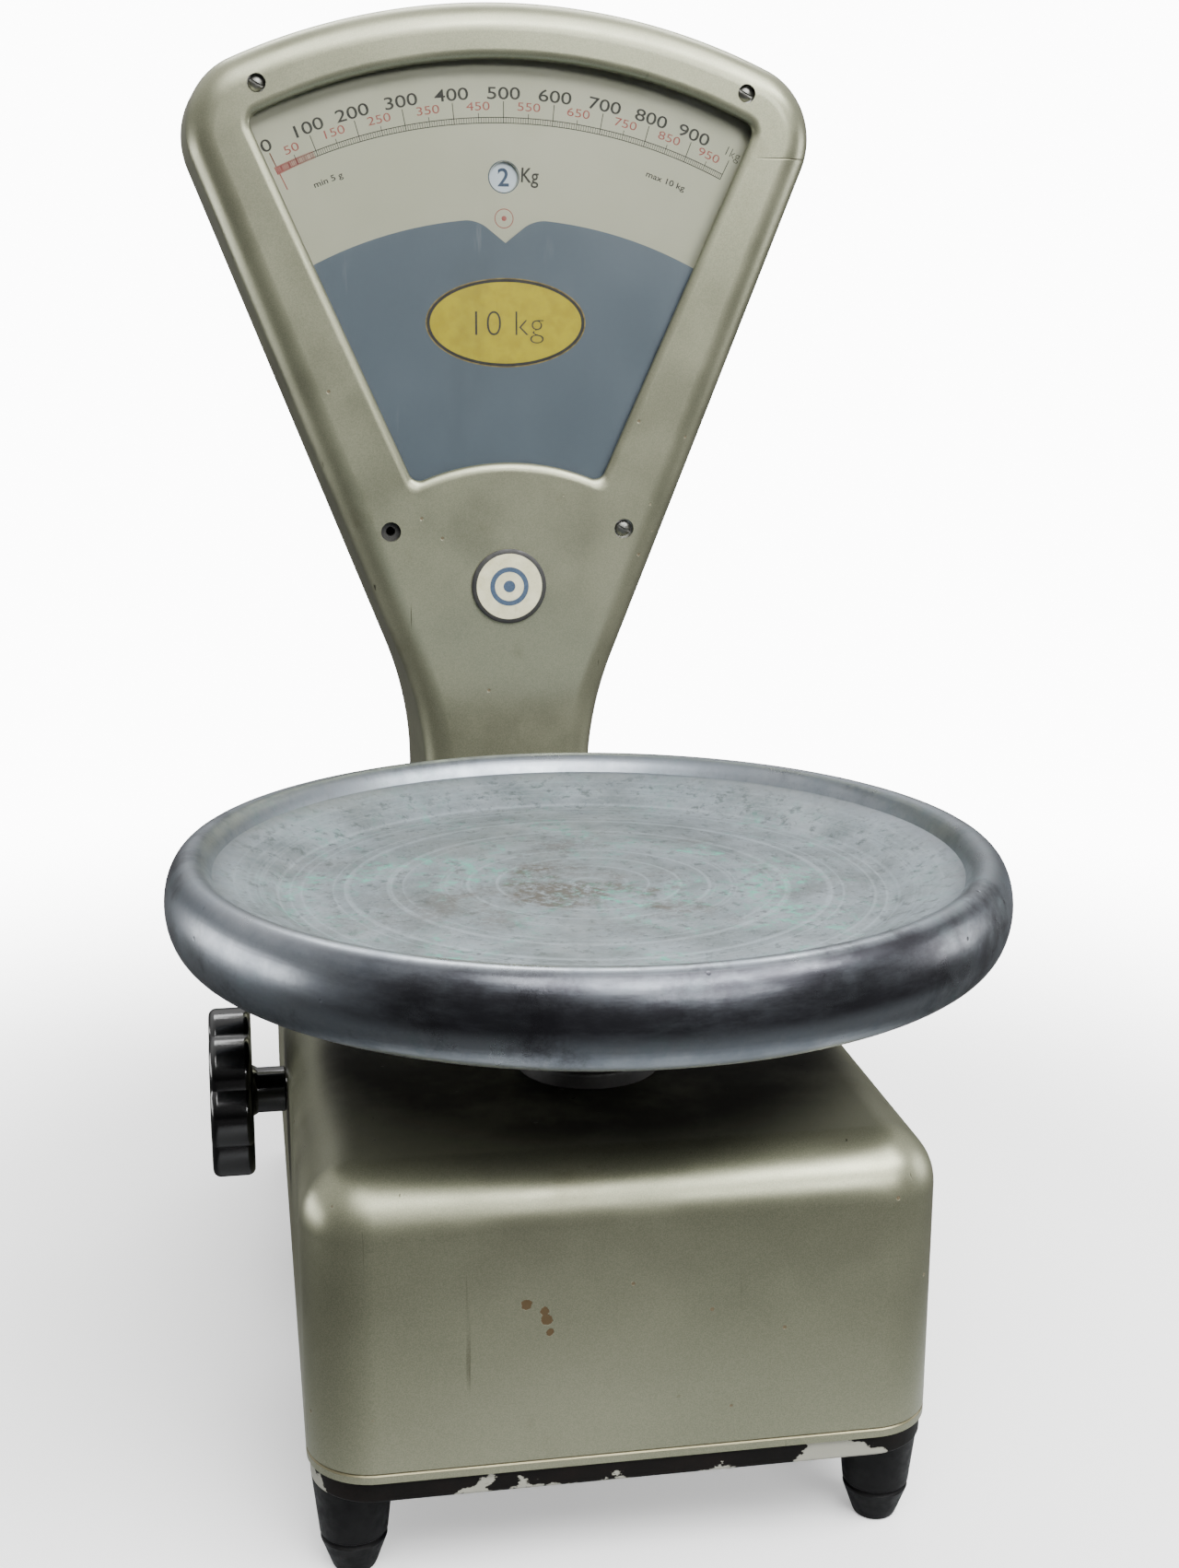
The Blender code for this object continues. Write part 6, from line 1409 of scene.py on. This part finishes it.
def plain_text(words: str, thin: float) -> Mesh:
    """Makes flat text of size one, centred on the origin, facing +Z.

    Args:
        words: What it says.
        thin: How far its strokes are drawn in.

    Returns:
        The text's mesh.
    """
    curve = bpy.data.curves.new("text", "FONT")
    curve.body = words
    curve.size = 1.0
    curve.offset = -thin
    curve.align_x = "CENTER"
    item = bpy.data.objects.new("text", curve)
    bpy.context.scene.collection.objects.link(item)
    bpy.context.view_layer.update()
    data = bpy.data.meshes.new_from_object(item.evaluated_get(bpy.context.evaluated_depsgraph_get()))
    mesh = bmesh.new()
    mesh.from_mesh(data)
    bpy.data.objects.remove(item)
    bpy.data.meshes.remove(data)
    bpy.data.curves.remove(curve)
    return mesh


@lru_cache(maxsize=None)
def digit_height() -> float:
    """Measures how tall a digit of size one is."""
    mesh = plain_text("0", 0.0)
    heights = [vert.co.y for vert in mesh.verts]
    mesh.free()
    return max(heights) - min(heights)


def lettering(words: str, height: float, place: Matrix, thin: float, wide: float = 1.0) -> Mesh:
    """Makes printed text whose digits have a height, centred on a place and facing the front.

    Args:
        words: What it says.
        height: The height of its digits.
        place: Where its middle is, with Z up along the text's height.
        thin: How far its strokes are drawn in, as a share of its size.
        wide: How much wider than the plain font it is.

    Returns:
        The text's mesh.
    """
    size = height / digit_height()
    mesh = plain_text(words, thin)
    mesh.normal_update()
    raise_faces(mesh, mesh.faces[:], (0, 0, INK / size))
    bmesh.ops.translate(mesh, verts=mesh.verts[:], vec=(0, -digit_height() / 2, 0))
    bmesh.ops.transform(mesh, matrix=place @ Matrix.Rotation(QUARTER, 4, "X")
                        @ Matrix.Diagonal((size * wide, size, size, 1)), verts=mesh.verts[:])
    weld(mesh)
    return mesh


@dataclass
class InnerWorks:
    """The CAD nodes that stay as they are and only take a finish."""

    special: tuple[tuple[str, Finish], ...] = (("number_disc", DISC_CARD),
                                               ("case_post_lower_left", DARK_PAINT))

    def build(self) -> None:
        """Gives every shown CAD node its slot's finish."""
        slots = {part["node"]: Slot(part["material_slot"]) for part in frame["record"]["subparts"]}
        chosen = dict(self.special)
        for name, node in frame["nodes"].items():
            node.data.materials.clear()
            node.data.materials.append(dressed(chosen.get(name, NODE_FINISHES[slots[name]])))
            LOG.info("%s: CAD node dressed", name)


@dataclass
class Studio:
    """The photograph's camera, a pale floor and soft light."""

    place: Triple = (-0.1217, -0.7606, 0.4257)
    yaw: float = math.radians(10.04)
    pitch: float = math.radians(13.67)
    roll: float = math.radians(0.28)
    focal_pixels: float = 2192.7
    long_side_pixels: float = 1702.0
    sensor: float = 36.0
    floor_size: float = 6.0

    def camera(self) -> None:
        """Places the camera where the photograph was taken."""
        flat = math.cos(self.pitch)
        ahead = Vector((math.sin(self.yaw) * flat, math.cos(self.yaw) * flat, -math.sin(self.pitch)))
        level = Vector((math.cos(self.yaw), -math.sin(self.yaw), 0))
        upright = level.cross(ahead)
        right = math.cos(self.roll) * level + math.sin(self.roll) * upright
        up = math.cos(self.roll) * upright - math.sin(self.roll) * level
        data = bpy.data.cameras.new("photo_camera")
        data.sensor_width = self.sensor
        data.lens = self.focal_pixels * self.sensor / self.long_side_pixels
        camera = bpy.data.objects.new("photo_camera", data)
        bpy.context.scene.collection.objects.link(camera)
        turn = Matrix((right, up, -ahead)).transposed().to_4x4()
        camera.matrix_world = Matrix.Translation(self.place) @ turn
        bpy.context.scene.camera = camera

    def floor(self) -> None:
        """Lays the pale floor, which turns to an even glow where it nears the background."""
        mesh = bmesh.new()
        bmesh.ops.create_grid(mesh, x_segments=1, y_segments=1, size=self.floor_size)
        floor = loose_object("pale_floor", mesh)
        floor.data.materials.append(dressed(FLOOR))

    def softbox(self, name: str, place: Triple, target: Triple, size: Pair, watts: float) -> None:
        """Hangs one soft light that looks at a target.

        Args:
            name: The light's name.
            place: Where it hangs.
            target: The point that it faces.
            size: Its width and height.
            watts: Its power.
        """
        data = bpy.data.lights.new(name, "AREA")
        data.shape = "RECTANGLE"
        data.size, data.size_y = size
        data.energy = watts
        light = bpy.data.objects.new(name, data)
        light.location = place
        light.rotation_mode = "QUATERNION"
        light.rotation_quaternion = (Vector(target) - Vector(place)).to_track_quat("-Z", "Y")
        bpy.context.scene.collection.objects.link(light)

    def world(self) -> None:
        """Makes a dim room, brighter above, to the left and behind, that the camera sees as white."""
        world = bpy.data.worlds.new("studio")
        bpy.context.scene.world = world
        world.use_nodes = True
        graph = Graph(world.node_tree, "Generated")
        glow = graph.times(graph.ramp(graph.axis("Z"), 0.0, 0.75, 0.08, 0.7),
                           graph.ramp(graph.axis("Y"), -0.9, 0.5, 0.45, 1.6),
                           graph.ramp(graph.axis("X"), -0.9, 0.9, 1.3, 0.9))
        path = graph.node("ShaderNodeLightPath", {}).outputs["Is Camera Ray"]
        graph.put(world.node_tree.nodes["Background"].inputs["Color"],
                  graph.mix(path, glow, (BACKDROP, BACKDROP, BACKDROP)))

    def build(self) -> None:
        """Sets the stage."""
        self.camera()
        self.floor()
        self.world()
        self.softbox("ceiling", (0.3, -1.0, 1.85), (0, 0, 0.3), (2.4, 1.1), 82)
        self.softbox("key", (0.75, -1.3, 1.6), (0, 0, 0.35), (2.0, 0.4), 50)
        self.softbox("front", (0.85, -2.1, 1.05), (0, 0, 0.5), (1.1, 0.4), 25)
        self.softbox("back", (0.1, 0.95, 1.75), (0, 0.1, 0.3), (1.6, 0.6), 30)
        self.softbox("left_strip", (-1.3, 0.3, 0.18), (0, 0, 0.45), (1.0, 0.35), 9)
        self.softbox("right_strip", (1.5, 0.0, 0.4), (0, 0, 0.4), (0.6, 0.6), 8)


def main() -> None:
    """Builds the scale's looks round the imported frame."""
    Studio().build()
    InnerWorks().build()
    BoxBase().build()
    Pan().build()
    head = FanHead()
    head.build()
    Dial(head).build()
    SideKnob().build()


if __name__ == "__main__":
    main()
